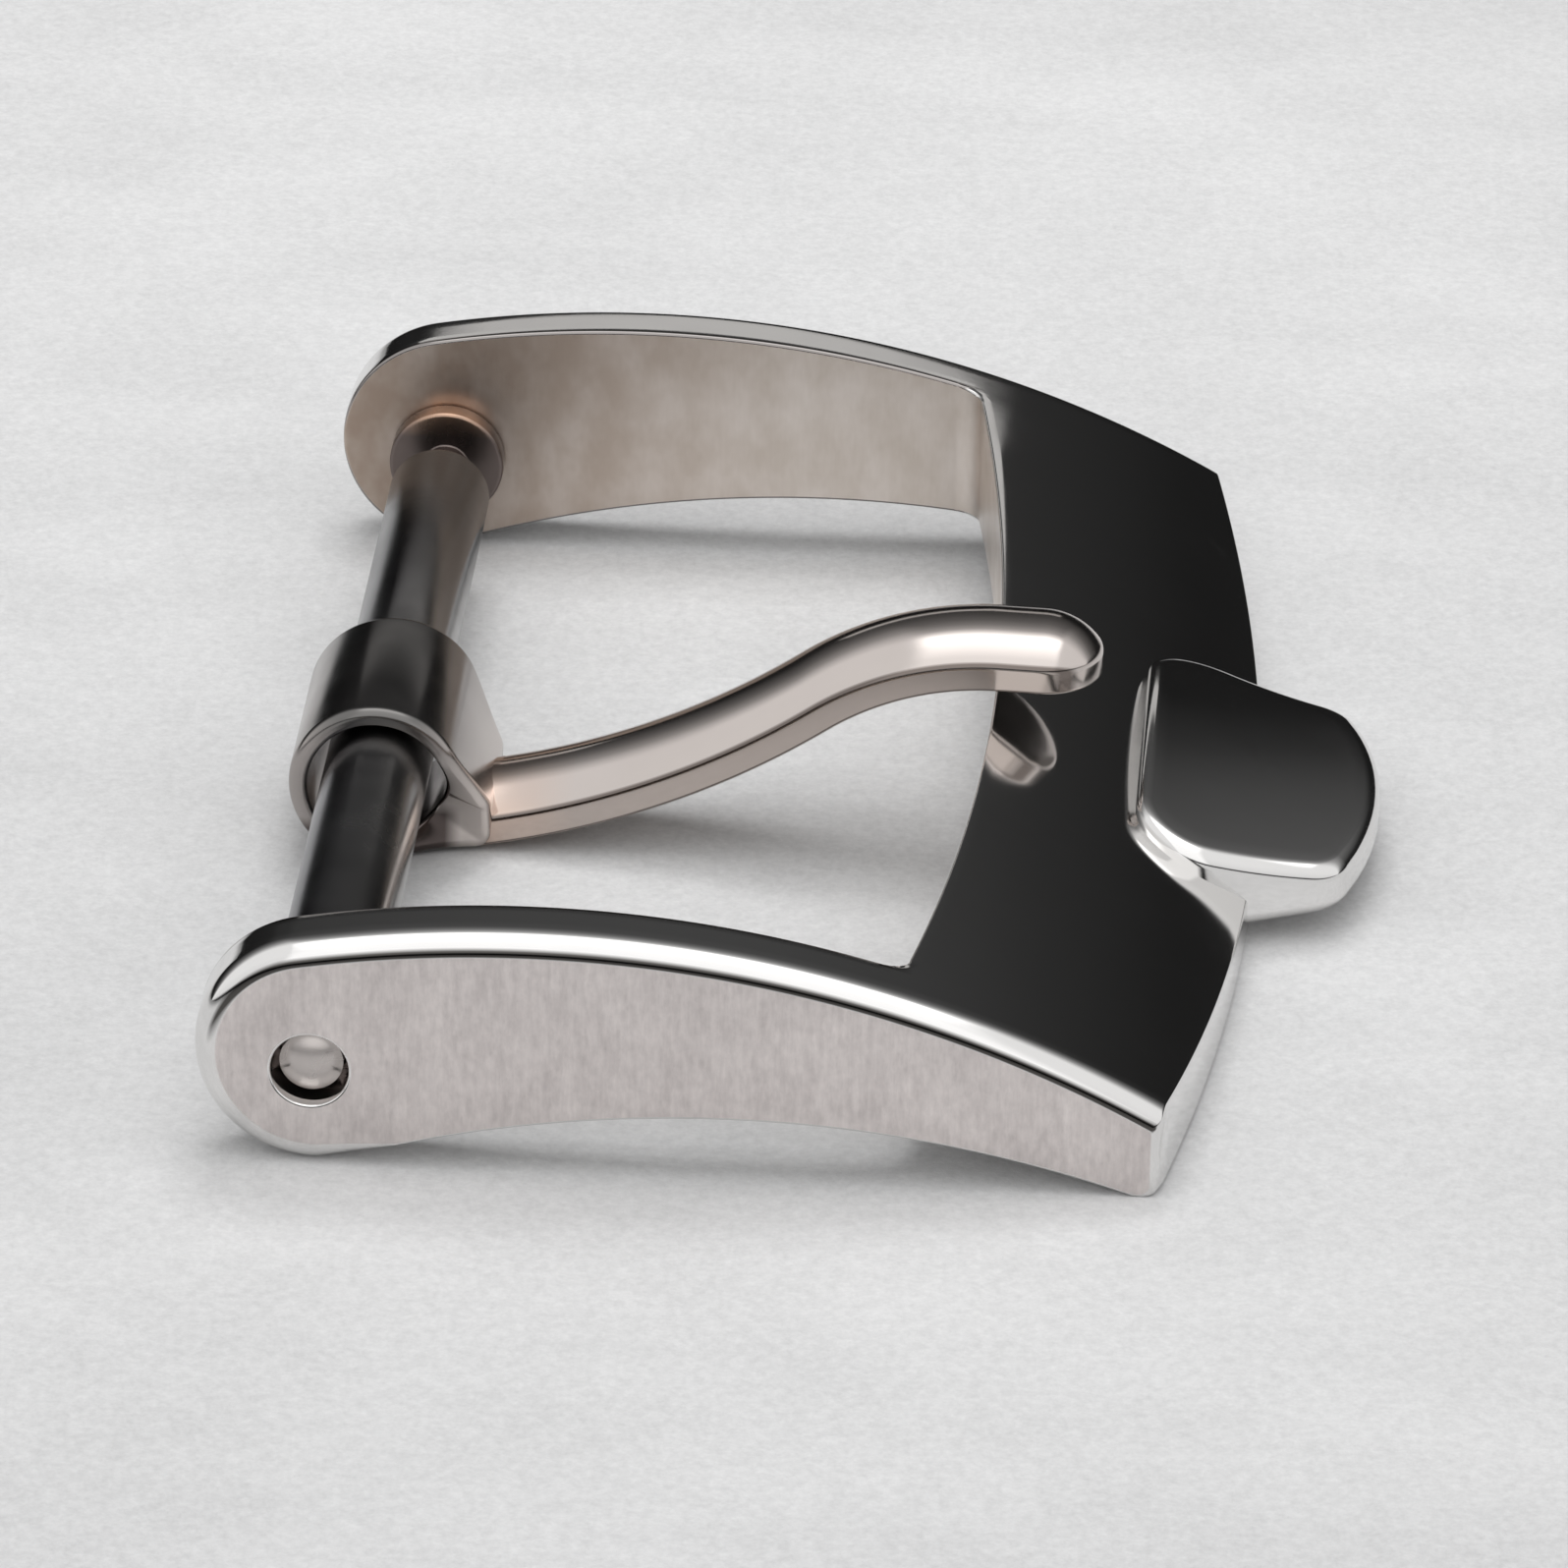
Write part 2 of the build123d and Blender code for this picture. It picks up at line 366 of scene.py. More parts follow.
join_angle = asin((END_Z - ARCH_Z) / (ARCH_RADIUS - END_RADIUS))
join_x = END_X - END_RADIUS * cos(join_angle)
arm_end_x = WINDOW_X - WINDOW_BOW - WINDOW_CORNER
END_STEPS, ARM_STEPS = 30, 64
top_line = [end_point(a, 1) for a in steps(0, join_angle, END_STEPS)]
top_line += [arch_point(x) for x in steps(join_x, arm_end_x, ARM_STEPS)[1:]]
under_line = [end_point(a, -1) for a in steps(0, pi / 2, END_STEPS)]
under_line += [under_point(x) for x in steps(END_X, arm_end_x, ARM_STEPS)[1:]]
print("stations along an arm", len(top_line))

# %% [markdown]
# Every edge of the frame is a small quarter circle. Each is laid out as places and depths: how far
# in from the edge, and how far below the sharp surface. The outer edge has the wide round, the
# edges that the strap touches are only broken, and the front corners turn in plan.

# %% Rounded edges as places and depths
INNER_ROUND, FOOT_ROUND = 0.045, 0.04
FRONT_ROUND, FRONT_FOOT_ROUND, FRONT_CORNER = 0.06, 0.14, 0.12
BAND_STEPS, TOP_STEPS, FOOT_STEPS = 16, 32, 31
HOLLOW_FADE_X, BEYOND_ROUNDS = 1.0, 1.0


def sunk(radius, inset):
    """Depth of a quarter circle at a distance in from its edge."""
    if inset >= radius:
        return 0.0
    return radius - sqrt(max(radius**2 - (radius - inset) ** 2, 0.0))


def across(inner_round, outer_round):
    """Places across an arm from the strap side outwards, as (y, depth)."""
    places = [(HALF_STRAP + inset, drop) for inset, drop in quarter(inner_round)]
    places += [(y, 0.0) for y in steps(places[-1][0], HALF_WIDTH - outer_round, 4)[1:-1]]
    band = quarter(outer_round, BAND_STEPS)[::-1]
    return places + [(HALF_WIDTH - inset, drop) for inset, drop in band]


def lowered(line_point, y, depth):
    """A point of the side view's outline, moved to y and into the metal by a depth."""
    point, normal = line_point
    if point.x < ARCH_PEAK_X or normal.z < 0:
        at = point - normal * depth
    else:
        at = point - Vector((0, 0, depth / normal.z))
    return (at.x, y, at.z)


def under_section(x):
    """Section rounds of the underside. They fade where the hollow begins."""
    fade = min(max((HOLLOW_FADE_X - x) / (HOLLOW_FADE_X - END_X), 0.0), 1.0)
    inner = FOOT_ROUND + (INNER_ROUND - FOOT_ROUND) * fade
    outer = FOOT_ROUND + (OUTER_ROUND - FOOT_ROUND) * fade
    return across(inner, outer)


print("places across an arm", len(across(INNER_ROUND, OUTER_ROUND)))

# %% [markdown]
# Seen from above, the crossbar lies between two bows: the window's edge and the front edge. Each
# place y across the buckle has a row of points over the top and one along the underside. The edge
# round at the window depends on the distance to its outline, so it also follows its corners.

# %% Plan of the crossbar
def window_edge(y):
    """Inner edge of the crossbar at y, with its small corner round."""
    at = min(abs(y), HALF_STRAP - WINDOW_CORNER)
    bowed = WINDOW_X - (WINDOW_RADIUS - sqrt(WINDOW_RADIUS**2 - at**2))
    reach = min((abs(y) - at) / WINDOW_CORNER, 1.0)
    return bowed + (arm_end_x - bowed) * (1 - sqrt(1 - reach**2))


def front_edge(y):
    """Front edge of the crossbar at y, with its corner round."""
    reach = max(abs(y) - (HALF_WIDTH - FRONT_CORNER), 0.0)
    bowed = FRONT_X - (FRONT_RADIUS - sqrt(FRONT_RADIUS**2 - y**2))
    return bowed - (FRONT_CORNER - sqrt(max(FRONT_CORNER**2 - reach**2, 0.0)))


corner_ys = [HALF_STRAP - drop for inset, drop in quarter(WINDOW_CORNER, 10)]
window_ys = steps(0, HALF_STRAP - WINDOW_CORNER, 30) + corner_ys[1:]
window_line = [Vector((window_edge(y), y)) for y in window_ys]
window_line.append(Vector((ARCH_PEAK_X, HALF_STRAP)))


def from_window(x, y):
    """Distance in plan from a point of the crossbar to the window's outline, 1 mm at most."""
    here = Vector((x, abs(y)))
    if x - window_edge(min(abs(y), HALF_STRAP)) > BEYOND_ROUNDS:
        return BEYOND_ROUNDS
    nearest = BEYOND_ROUNDS
    for a, b in zip(window_line, window_line[1:]):
        along = b - a
        share = min(max((here - a).dot(along) / along.length_squared, 0.0), 1.0)
        nearest = min(nearest, (a + along * share - here).length)
    return nearest


def crossbar_row(y, line, edge_round, outer_round, last_x, count):
    """Points at y from the window to last_x, and the depth there of the side's own round."""
    start = window_edge(min(abs(y), HALF_STRAP))
    xs = [start + inset for inset, drop in quarter(edge_round)]
    xs += steps(xs[-1], last_x, count)[1:]
    outer = sunk(outer_round, HALF_WIDTH - abs(y))
    depths = [max(outer, sunk(edge_round, from_window(x, y))) for x in xs]
    return [lowered(line(x), y, depth) for x, depth in zip(xs, depths)], outer


def crossbar_top(y):
    """Points along the crossbar's top at y, from the window over to the front face."""
    front = front_edge(y)
    xc = front - FRONT_ROUND
    slope = acos((front - ARCH_PEAK_X) / ARCH_RADIUS)
    ends = xc + FRONT_ROUND * cos(slope)
    row, outer = crossbar_row(y, arch_point, INNER_ROUND, OUTER_ROUND, ends, TOP_STEPS)
    last, normal = arch_point(ends)
    zc = last.z - FRONT_ROUND * normal.z - outer / normal.z
    turns = steps(slope, 0, 5)[1:]
    return row + [(xc + FRONT_ROUND * cos(a), y, zc + FRONT_ROUND * sin(a)) for a in turns]


def crossbar_foot(y):
    """The same along its underside."""
    front, foot = front_edge(y), quarter(FRONT_FOOT_ROUND)[::-1]
    ends = front - FRONT_FOOT_ROUND
    row, outer = crossbar_row(y, under_point, FOOT_ROUND, FOOT_ROUND, ends, FOOT_STEPS)
    return row + [(front - inset, y, TABLE + drop + outer) for inset, drop in foot[1:]]


print("crossbar from x", round(window_edge(0), 2), "to", round(front_edge(0), 2))

# %% [markdown]
# Now the rows become the skin. At both ends the crossbar's columns have the same places as the
# arms' sections, so arms and crossbar share their points. The flat sides are filled round the pivot
# holes, and the holes' walls join the two sides of each arm.

# %% Build the frame's skin
HOLE_ROUND = 0.035
top_section, foot_section = across(INNER_ROUND, OUTER_ROUND), across(FOOT_ROUND, FOOT_ROUND)
inside_columns = steps(0, HALF_STRAP - WINDOW_CORNER, 50)[:-1] + corner_ys


def both_ways(section):
    """Places of the crossbar's columns from one side of the buckle to the other."""
    half = inside_columns + [y for y, _ in section[1:]]
    return [-y for y in half[:0:-1]] + half


def ring(y, radius, sides=96):
    """A circle of points round the bar's axis."""
    turns = [2 * pi * k / sides for k in range(sides)]
    return [(radius * cos(a), y, radius * sin(a)) for a in turns]


skin = bmesh.new()
bar_tops = [crossbar_top(y) for y in both_ways(top_section)]
bar_feet = [crossbar_foot(y) for y in both_ways(foot_section)]
sheet_of(skin, bar_tops)
sheet_of(skin, bar_feet)
sheet_of(skin, [(t[-1], f[-1]) for t, f in zip(bar_tops, bar_feet)])
outside = len(foot_section) - 1
sheet_of(skin, [(t[0], f[0]) for t, f in list(zip(bar_tops, bar_feet))[outside:-outside]])
for side in (-1, 1):
    tops = [[lowered(p, side * y, d) for y, d in top_section] for p in top_line]
    feet = [[lowered(p, side * y, d) for y, d in under_section(p[0].x)] for p in under_line]
    sheet_of(skin, tops)
    sheet_of(skin, feet)
    far_top, far_foot = (bar_tops[-1], bar_feet[-1]) if side > 0 else (bar_tops[0], bar_feet[0])
    outer_loop = [t[-1] for t in tops] + far_top[1:] + far_foot[::-1]
    outer_loop += [f[-1] for f in feet][-2::-1]
    inner_loop = [t[0] for t in tops] + [f[0] for f in feet][::-1]
    rim = HOLE_RADIUS + HOLE_ROUND
    plate(skin, outer_loop, ring(side * HALF_WIDTH, rim))
    plate(skin, inner_loop, ring(side * HALF_STRAP, rim))
    broken = quarter(HOLE_ROUND, 4)
    hole_wall = [(HOLE_RADIUS + drop, HALF_WIDTH - inset) for inset, drop in broken]
    hole_wall += [(HOLE_RADIUS + inset, HALF_STRAP + drop) for inset, drop in broken]
    loops = [ring(side * y, r) for r, y in hole_wall]
    sheet_of(skin, [loop + loop[:1] for loop in loops])
flats = [(s * HALF_WIDTH, s) for s in (-1, 1)] + [(s * HALF_STRAP, -s) for s in (-1, 1)]
frame_skin = closed_piece("frame_skin", skin, flats)

# %% [markdown]
# ## Turned pieces with Geometry Nodes
#
# The bar's tube and its two pins are turned on a lathe: one outline, spun round an axis. A small
# Geometry Nodes tree does the same. It takes the outline's points, lays a grid whose rows are the
# outline and whose columns are turns round the axis, and puts each grid point where it belongs.

# %% A tree that grows a piece
def grown(name, points, build, settings, material):
    """An object that a Geometry Nodes tree builds from points, turned into plain mesh.

    Build adds the tree's own nodes. Settings are the values of the tree's inputs by name."""
    data = bpy.data.meshes.new(name)
    data.from_pydata(points, [], [])
    obj = placed(name, data)
    group = bpy.data.node_groups.new(build.__name__, "GeometryNodeTree")
    face = group.interface
    face.new_socket("Geometry", in_out="INPUT", socket_type="NodeSocketGeometry")
    ids = {}
    for label, value in settings.items():
        kind = "NodeSocketInt" if isinstance(value, int) else "NodeSocketFloat"
        ids[label] = face.new_socket(label, in_out="INPUT", socket_type=kind).identifier
    face.new_socket("Geometry", in_out="OUTPUT", socket_type="NodeSocketGeometry")
    tree = Tree(group)
    shape = build(tree, tree.add("NodeGroupInput"))
    real = tree.add("GeometryNodeRealizeInstances", Geometry=shape)
    painted = tree.add("GeometryNodeSetMaterial", Geometry=real.outputs[0], Material=material)
    tree.plug(painted.outputs[0], tree.add("NodeGroupOutput").inputs[0])
    modifier = obj.modifiers.new(build.__name__, "NODES")
    modifier.node_group = group
    for label, value in settings.items():
        modifier[ids[label]] = value
    return baked(obj)


print("tree builder ready")

# %% [markdown]
# The lathe itself counts its grid's points: the row says which outline point is meant, and the
# place in the row says how far round it has turned.

# %% The lathe
LATHE_MERGE, LATHE_SHORTEST = 1e-7, 1e-8


def lathe(tree, given):
    """Nodes that spin an outline of (radius, place along the bar) points round the bar's axis."""
    outline, around = given.outputs["Geometry"], tree.out(given, "Facets round")
    size = tree.add("GeometryNodeAttributeDomainSize", {"component": "MESH"}, Geometry=outline)
    grid = tree.add(
        "GeometryNodeMeshGrid", Vertices_X=tree.out(size, "Point Count"), Vertices_Y=around + 1
    )
    index = tree.out(tree.add("GeometryNodeInputIndex"))
    row = ((index + 0.5) / (around + 1)).floor()
    turn = (index - row * (around + 1)) / around * (2 * pi)
    sampled = tree.add(
        "GeometryNodeSampleIndex", {"data_type": "FLOAT_VECTOR", "domain": "POINT"},
        Geometry=outline, Value=tree.out(tree.add("GeometryNodeInputPosition")), Index=row,
    )
    parts = tree.add("ShaderNodeSeparateXYZ", Vector=sampled.outputs[0])
    radius, along = tree.out(parts, "X"), tree.out(parts, "Y")
    spun = tree.add(
        "ShaderNodeCombineXYZ", X=radius * turn.cos(), Y=along, Z=radius * turn.sin()
    )
    moved = tree.add(
        "GeometryNodeSetPosition", Geometry=grid.outputs["Mesh"], Position=spun.outputs[0]
    )
    return tree.add(
        "GeometryNodeMergeByDistance", Geometry=moved.outputs[0], Distance=LATHE_MERGE
    ).outputs[0]


def turned(name, outline, material, facets=128):
    """A closed piece from the lathe."""
    points = [(r * MM, y * MM, 0) for r, y in outline]
    obj = grown(name, points, lathe, {"Facets round": facets}, material)
    mesh = bmesh.new()
    mesh.from_mesh(obj.data)
    open_edges = sealed(mesh, LATHE_MERGE, LATHE_SHORTEST)
    mesh.to_mesh(obj.data)
    mesh.free()
    print(name, "faces", len(obj.data.polygons), "open edges", open_edges)
    return smooth_by_angle(obj)


def smooth_by_angle(obj, angle=32):
    """Shade smoothly, but keep every edge that turns by more than an angle sharp."""
    obj.data.set_sharp_from_angle(angle=radians(angle))
    for polygon in obj.data.polygons:
        polygon.use_smooth = True
    flats = obj.modifiers.new("flats", "WEIGHTED_NORMAL")
    flats.keep_sharp, flats.weight = True, 80
    return baked(obj)


print("lathe ready")

# %% [markdown]
# A turner breaks every sharp edge, and the little round that is left is what catches the light. So
# an outline is written down with sharp corners, and each corner is then replaced with an arc.

# %% Outlines with rounded corners
def rounded(points, radii, count=5):
    """An outline whose corners are replaced with arcs. The first and last points stay."""
    out = [points[0]]
    for before, here, after, radius in zip(points, points[1:], points[2:], radii):
        if radius == 0:
            out.append(here)
            continue
        a = Vector((before[0] - here[0], before[1] - here[1])).normalized()
        b = Vector((after[0] - here[0], after[1] - here[1])).normalized()
        half = acos(max(-1.0, min(1.0, a.dot(b)))) / 2
        cut_back = radius / (sin(half) / cos(half))
        centre = Vector(here) + (a + b).normalized() * radius / sin(half)
        first, final = Vector(here) + a * cut_back - centre, Vector(here) + b * cut_back - centre
        sweep = atan2(first.x * final.y - first.y * final.x, first.dot(final))
        for k in range(count + 1):
            turned_by = sweep * k / count
            c, s = cos(turned_by), sin(turned_by)
            out.append((centre.x + first.x * c - first.y * s, centre.y + first.x * s + first.y * c))
    out.append(points[-1])
    return out


square = [(0, 0), (1, 0), (1, 1)]
print("a rounded corner has", len(rounded(square, (0.2,))) - 2, "points")

# %% [markdown]
# The strap bar's sizes come from the parts that watchmakers buy: a tube of 1.3 millimetres, pins
# that fit the pivot holes with a little play, and a flange on each pin that rests on the arm.

# %% The sizes of the strap bar
PIVOT_RADIUS, PIVOT_END, PIVOT_DOME = 0.375, 8.72, 0.12
FLANGE_RADIUS, FLANGE_OUTER, FLANGE_INNER = 0.74, 7.98, 7.68
NECK_RADIUS, HEAD_RADIUS, HEAD_OUTER, HEAD_INNER = 0.28, 0.43, 6.61, 5.81
TUBE_RADIUS, TUBE_BORE, TUBE_HALF, LIP_RADIUS, LIP_INNER = 0.645, 0.475, 6.88, 0.33, 6.63
print("tube", 2 * TUBE_HALF, "mm long and", 2 * TUBE_RADIUS, "mm thick")

# %% [markdown]
# ## Steel, polished and satin
#
# The whole buckle is one white steel, and only its finish differs: the arms' flat sides and the
# walls of the strap window are satin, everything else is a mirror with the hairlines that wear
# leaves. So one function makes every finish. It takes how rough the steel is and how strong its
# grain is, and adds the slow cloudiness that keeps a mirror from looking like glass.

# %% A steel with grain, hairlines and clouds
def mixed(tree, factor, first, second):
    """Mix two colours, each a colour or a socket, by a factor."""
    node = tree.add("ShaderNodeMix", {"data_type": "RGBA"})
    colours = [s for s in node.inputs if s.type == "RGBA"]
    tree.plug(factor, node.inputs["Factor"])
    for value, socket in zip((first, second), colours):
        tree.plug(value + (1,) if isinstance(value, tuple) else value, socket)
    return next(s for s in node.outputs if s.type == "RGBA")


def darker(colour, by):
    """The same colour at a share of its brightness."""
    return tuple(c * by for c in colour)


def noise(tree, at, scale, detail, soft=0.5):
    """Fractal noise from 0 to 1. The scale may differ along x, y and z, in lumps per millimetre."""
    along_each = scale if isinstance(scale, tuple) else (scale, scale, scale)
    stretched = tree.add("ShaderNodeMapping", Vector=at, Scale=[s / MM for s in along_each])
    lumps = tree.add(
        "ShaderNodeTexNoise", Vector=stretched.outputs[0], Scale=1.0, Detail=detail, Roughness=soft
    )
    return tree.out(lumps, "Fac")


class Spot:
    """Where a material is being looked at: its place in metres, and the way it faces."""

    def __init__(self, tree):
        self.tree, where = tree, tree.add("ShaderNodeTexCoord")
        self.at = where.outputs["Object"]
        place = tree.add("ShaderNodeSeparateXYZ", Vector=self.at)
        facing = tree.add("ShaderNodeSeparateXYZ", Vector=where.outputs["Normal"])
        self.x, self.y, self.z = [tree.out(place, axis) for axis in "XYZ"]
        self.outward, self.up = abs(tree.out(facing, "Y")), tree.out(facing, "Z")

    def noise(self, scale, detail, soft=0.5):
        return noise(self.tree, self.at, scale, detail, soft)


def finished(tree, colour, height, strength, distance, **settings):
    """End a material: its colour, its bumps, and its surface's other settings."""
    bump = tree.add("ShaderNodeBump", Strength=strength, Distance=distance, Height=height)
    surface = tree.add(
        "ShaderNodeBsdfPrincipled", Base_Color=colour, Normal=bump.outputs[0], **settings
    )
    tree.add("ShaderNodeOutputMaterial", Surface=surface.outputs[0])


def steel(name, colour, roughness, grain_scale, grain, hairlines, places=(), satin=None):
    """A steel. Places are pairs of a function that finds a place on the piece, and its colour."""
    material = bpy.data.materials.new(name)
    tree = empty_tree(material)
    spot = Spot(tree)
    cloud = spot.noise(0.9, 3.0).ramp(0.3, 0.7)
    fine = spot.noise(grain_scale, 4.0, 0.6)
    swept = tree.add("ShaderNodeMapping", Vector=spot.at, Rotation=(0.3, 0.2, 0.9))
    rubbed = spot.noise(0.45, 1.0).ramp(0.5, 0.65)
    hairline = noise(tree, swept.outputs[0], (0.5, 16.0, 1.6), 2.0).ramp(0.66, 0.78) * rubbed
    rough = roughness * (0.75 + cloud * 0.5) + hairline * (0.06 * hairlines)
    height = fine * grain + hairline * (-0.25 * hairlines)
    tint = cloud * 0.3 + fine * (0.5 * grain)
    shown = mixed(tree, tint, colour, darker(colour, 0.88))
    for find, place_colour in places:
        shown = mixed(tree, find(spot), shown, place_colour)
    if satin:
        mask, satin_colour, stroke = satin_sides(spot, satin)
        rough = rough * (1 - mask) + (0.30 + stroke * 0.14) * mask
        height = height * (1 - mask) + stroke * mask
        shown = mixed(tree, mask, shown, satin_colour)
    finished(tree, shown, height, 0.35, 0.000004, Metallic=1.0, Roughness=rough)
    return material


print("steel ready")

# %% [markdown]
# The satin sides are found by form, not by hand: a side is satin where its surface faces straight
# along the bar, or where it is an upright wall inside the strap window. The strokes of the
# brushing stand upright, as on the real arms. Inside the window the walls are painted darker and
# browner, as painted shade, and darker and browner still towards the bar.

# %% Where the steel is satin
def satin_sides(spot, colours):
    """Where the steel is satin, its colour there and its brush strokes."""
    tree, x, y = spot.tree, spot.x, spot.y
    sideways = spot.outward.ramp(0.992, 0.998)
    upright = 1 - abs(spot.up).ramp(0.05, 0.2)
    within = (1 - abs(y).ramp(8.01 * MM, 8.04 * MM)) * (1 - x.ramp(7.62 * MM, 7.7 * MM)) * upright
    mask = sideways.most(within)
    stroke = spot.noise((15.0, 3.0, 2.6), 5.0, 0.65)
    blotch = spot.noise((1.6, 1.6, 1.1), 3.0, 0.6).ramp(0.35, 0.65)
    speck = spot.noise((9.0, 9.0, 6.0), 3.0, 0.6).ramp(0.35, 0.65)
    uneven = stroke.ramp(0.3, 0.7) * 0.4 + blotch * 0.3 + speck * 0.3
    outside = mixed(tree, uneven, colours["outside"], colours["outside_worn"])
    # Inside the window the walls are painted darker and browner: painted shade.
    inside = mixed(tree, blotch * 0.6 + stroke * 0.4, colours["inside"], colours["inside_worn"])
    # Darker and browner still towards the bar.
    darker_towards_bar = (1 - x.ramp(0.2 * MM, 4.5 * MM)) * (0.6 + blotch * 0.4)
    inside = mixed(tree, darker_towards_bar, inside, colours["darker_towards_bar"])
    return mask, mixed(tree, within, outside, inside), stroke


print("satin ready")

# %% [markdown]
# Other places are found by form too. Each finder below gives 1 on its place, 0 elsewhere and a soft
# edge between. On the frame, a painted dark line, a painted reflection of the dark room low in
# front, ends the polished band where it meets the satin side. The arms' inner edges are painted
# darker, a painted shade over the bright line that their small round would mirror.

# %% Places on the frame
def painted_dark_edge_line(spot):
    """The lowest part of the outer round, where it meets the satin side, painted dark: a painted
    reflection of the dark room low in front.
    """
    low_on_the_round = spot.outward.ramp(0.86, 0.93) * (1 - spot.outward.ramp(0.988, 0.996))
    return low_on_the_round * spot.up.ramp(0.03, 0.12) * abs(spot.y).ramp(8.30 * MM, 8.34 * MM)


def painted_shade_inner_edge(spot):
    """The arms' inner edges, painted darker: painted shade over the bright line that their round
    mirrors.
    """
    y = abs(spot.y)
    on_the_arms = y.ramp(7.97 * MM, 7.99 * MM) * (1 - y.ramp(8.06 * MM, 8.09 * MM))
    return on_the_arms * (1 - spot.x.ramp(6.7 * MM, 7.0 * MM))


print("two places on the frame")

# %% [markdown]
# The tongue's crown keeps the steel's own colour. Its sides are painted darker, as painted shade
# from the shadowed table that they mirror, with a painted dark line along each shoulder, and the
# root is warmer, like straw, in patches. The eye is painted darker, its crest darkest as a painted
# reflection of the dark room behind, its root painted lighter as a painted reflection of the pale
# table, and the gap under the bar is a painted shadow.

# %% Places on the tongue
def shaded_blade_sides(spot):
    """The blade's two upright sides, painted darker as painted shade: they mirror the shadowed
    table.
    """
    return spot.outward.ramp(0.93, 0.99)


def painted_dark_shoulder_line(spot):
    """The line between the blade's crown and its sides, painted dark: painted shade."""
    return spot.outward.ramp(0.78, 0.87) * (1 - spot.outward.ramp(0.94, 0.985))


def blade_root(spot):
    """The blade's first millimetre, next to the eye."""
    lumps = spot.noise(1.2, 2.0).ramp(0.3, 0.7)
    return (1 - spot.x.ramp(1.4 * MM, 2.4 * MM)) * (0.5 + lumps * 0.5)


def painted_dark_eye_crest(spot):
    """The top of the eye, painted dark: a painted reflection of the dark room behind."""
    return spot.z.ramp(0.45 * MM, 0.80 * MM)


def eye_root_painted_light(spot):
    """The thick part of the eye that the blade grows out of, painted lighter: a painted reflection
    of the pale table.
    """
    return spot.x.ramp(0.50 * MM, 0.95 * MM) * (1 - spot.z.ramp(-0.45 * MM, 0.30 * MM))


def eye_gap_painted_shadow(spot):
    """The underside of the eye's loop, painted dark: the painted shadow in the gap under the bar.
    """
    return (1 - spot.x.ramp(0.80 * MM, 1.0 * MM)) * (1 - spot.z.ramp(-0.72 * MM, -0.55 * MM))


print("six places on the tongue")

# %% [markdown]
# The strap bar is a dark grey steel. Its back and its far half are painted darker still, as painted
# shade, and the pins' flanges are nearly black with a painted coppery highlight on top.

# %% Places on the strap bar
def bar_back_painted_shade(spot):
    """The side of the tube that faces away from the crossbar, painted darker: painted shade."""
    return 1 - spot.x.ramp(-0.45 * MM, 0.25 * MM)


def bar_far_painted_shade(spot):
    """The far half of the tube, painted dark: painted shade over a bright reflection there."""
    return spot.y.ramp(1.5 * MM, 5.0 * MM)


def flange(spot):
    """All of a pin but the pivot that shows in the arm's hole."""
    return 1 - abs(spot.y).ramp(8.0 * MM, 8.2 * MM)


def flange_top_painted_highlight(spot):
    """The top of a pin's flange, with a painted coppery highlight in patches."""
    lumps = spot.noise(3.0, 2.0).ramp(0.3, 0.7)
    return flange(spot) * spot.z.ramp(0.40 * MM, 0.70 * MM) * (0.5 + lumps * 0.5)


print("four places on the strap bar")

# %% [markdown]
# With the places found, each finish is a few numbers: a colour, a roughness, the grain's scale in
# lumps per millimetre, and the colours of its places.

# %% The finishes
WHITE_STEEL = (0.80, 0.79, 0.78)
TONGUE_STEEL = (0.62, 0.565, 0.535)
polished = steel(
    "polished_steel", WHITE_STEEL, roughness=0.08, grain_scale=2.0, grain=0.25,
    hairlines=1.0,
    # A painted dark reflection line on the outer round, and painted shade on the inner edges.
    places=[(painted_dark_edge_line, (0.09, 0.085, 0.08)), (painted_shade_inner_edge, (0.30, 0.28, 0.27))],
    satin={
        "outside": (0.80, 0.745, 0.725), "outside_worn": (0.54, 0.495, 0.485),
        # The inside colours carry painted shade: darker and browner than the outside.
        "inside": (0.76, 0.70, 0.655), "inside_worn": (0.60, 0.535, 0.475),
        "darker_towards_bar": (0.42, 0.33, 0.27),
    },
)
tongue_steel = steel(
    "tongue_steel", TONGUE_STEEL, roughness=0.12, grain_scale=(1.6, 4.0, 4.0), grain=0.3,
    hairlines=0.6,
    places=[
        # Painted shade on the blade's sides and a painted dark line on its shoulders; the root is
        # warmer.
        (shaded_blade_sides, (0.49, 0.43, 0.395)), (blade_root, (0.66, 0.51, 0.43)),
        (painted_dark_shoulder_line, (0.20, 0.17, 0.155)),
    ],
)
# The eye is the blade's steel painted darker all over: painted shade and dark reflections.
painted_dark_eye_steel = steel(
    "painted_dark_eye_steel", (0.38, 0.35, 0.335), roughness=0.20, grain_scale=3.0, grain=0.3,
    hairlines=0.5,
    places=[
        (painted_dark_eye_crest, (0.17, 0.165, 0.16)), (eye_root_painted_light, TONGUE_STEEL),
        (eye_gap_painted_shadow, (0.11, 0.09, 0.085)),
    ],
)
tab_steel = steel(
    "tab_steel", WHITE_STEEL, roughness=0.09, grain_scale=(2.0, 3.0, 2.0), grain=0.25,
    hairlines=0.6,
)
bar_steel = steel(
    "bar_steel", (0.30, 0.295, 0.29), roughness=0.22, grain_scale=(2.5, 24.0, 2.5), grain=0.8,
    hairlines=0.4,
    # The tube's back and its far half carry painted shade.
    places=[(bar_back_painted_shade, (0.17, 0.17, 0.18)), (bar_far_painted_shade, (0.10, 0.098, 0.098))],
)
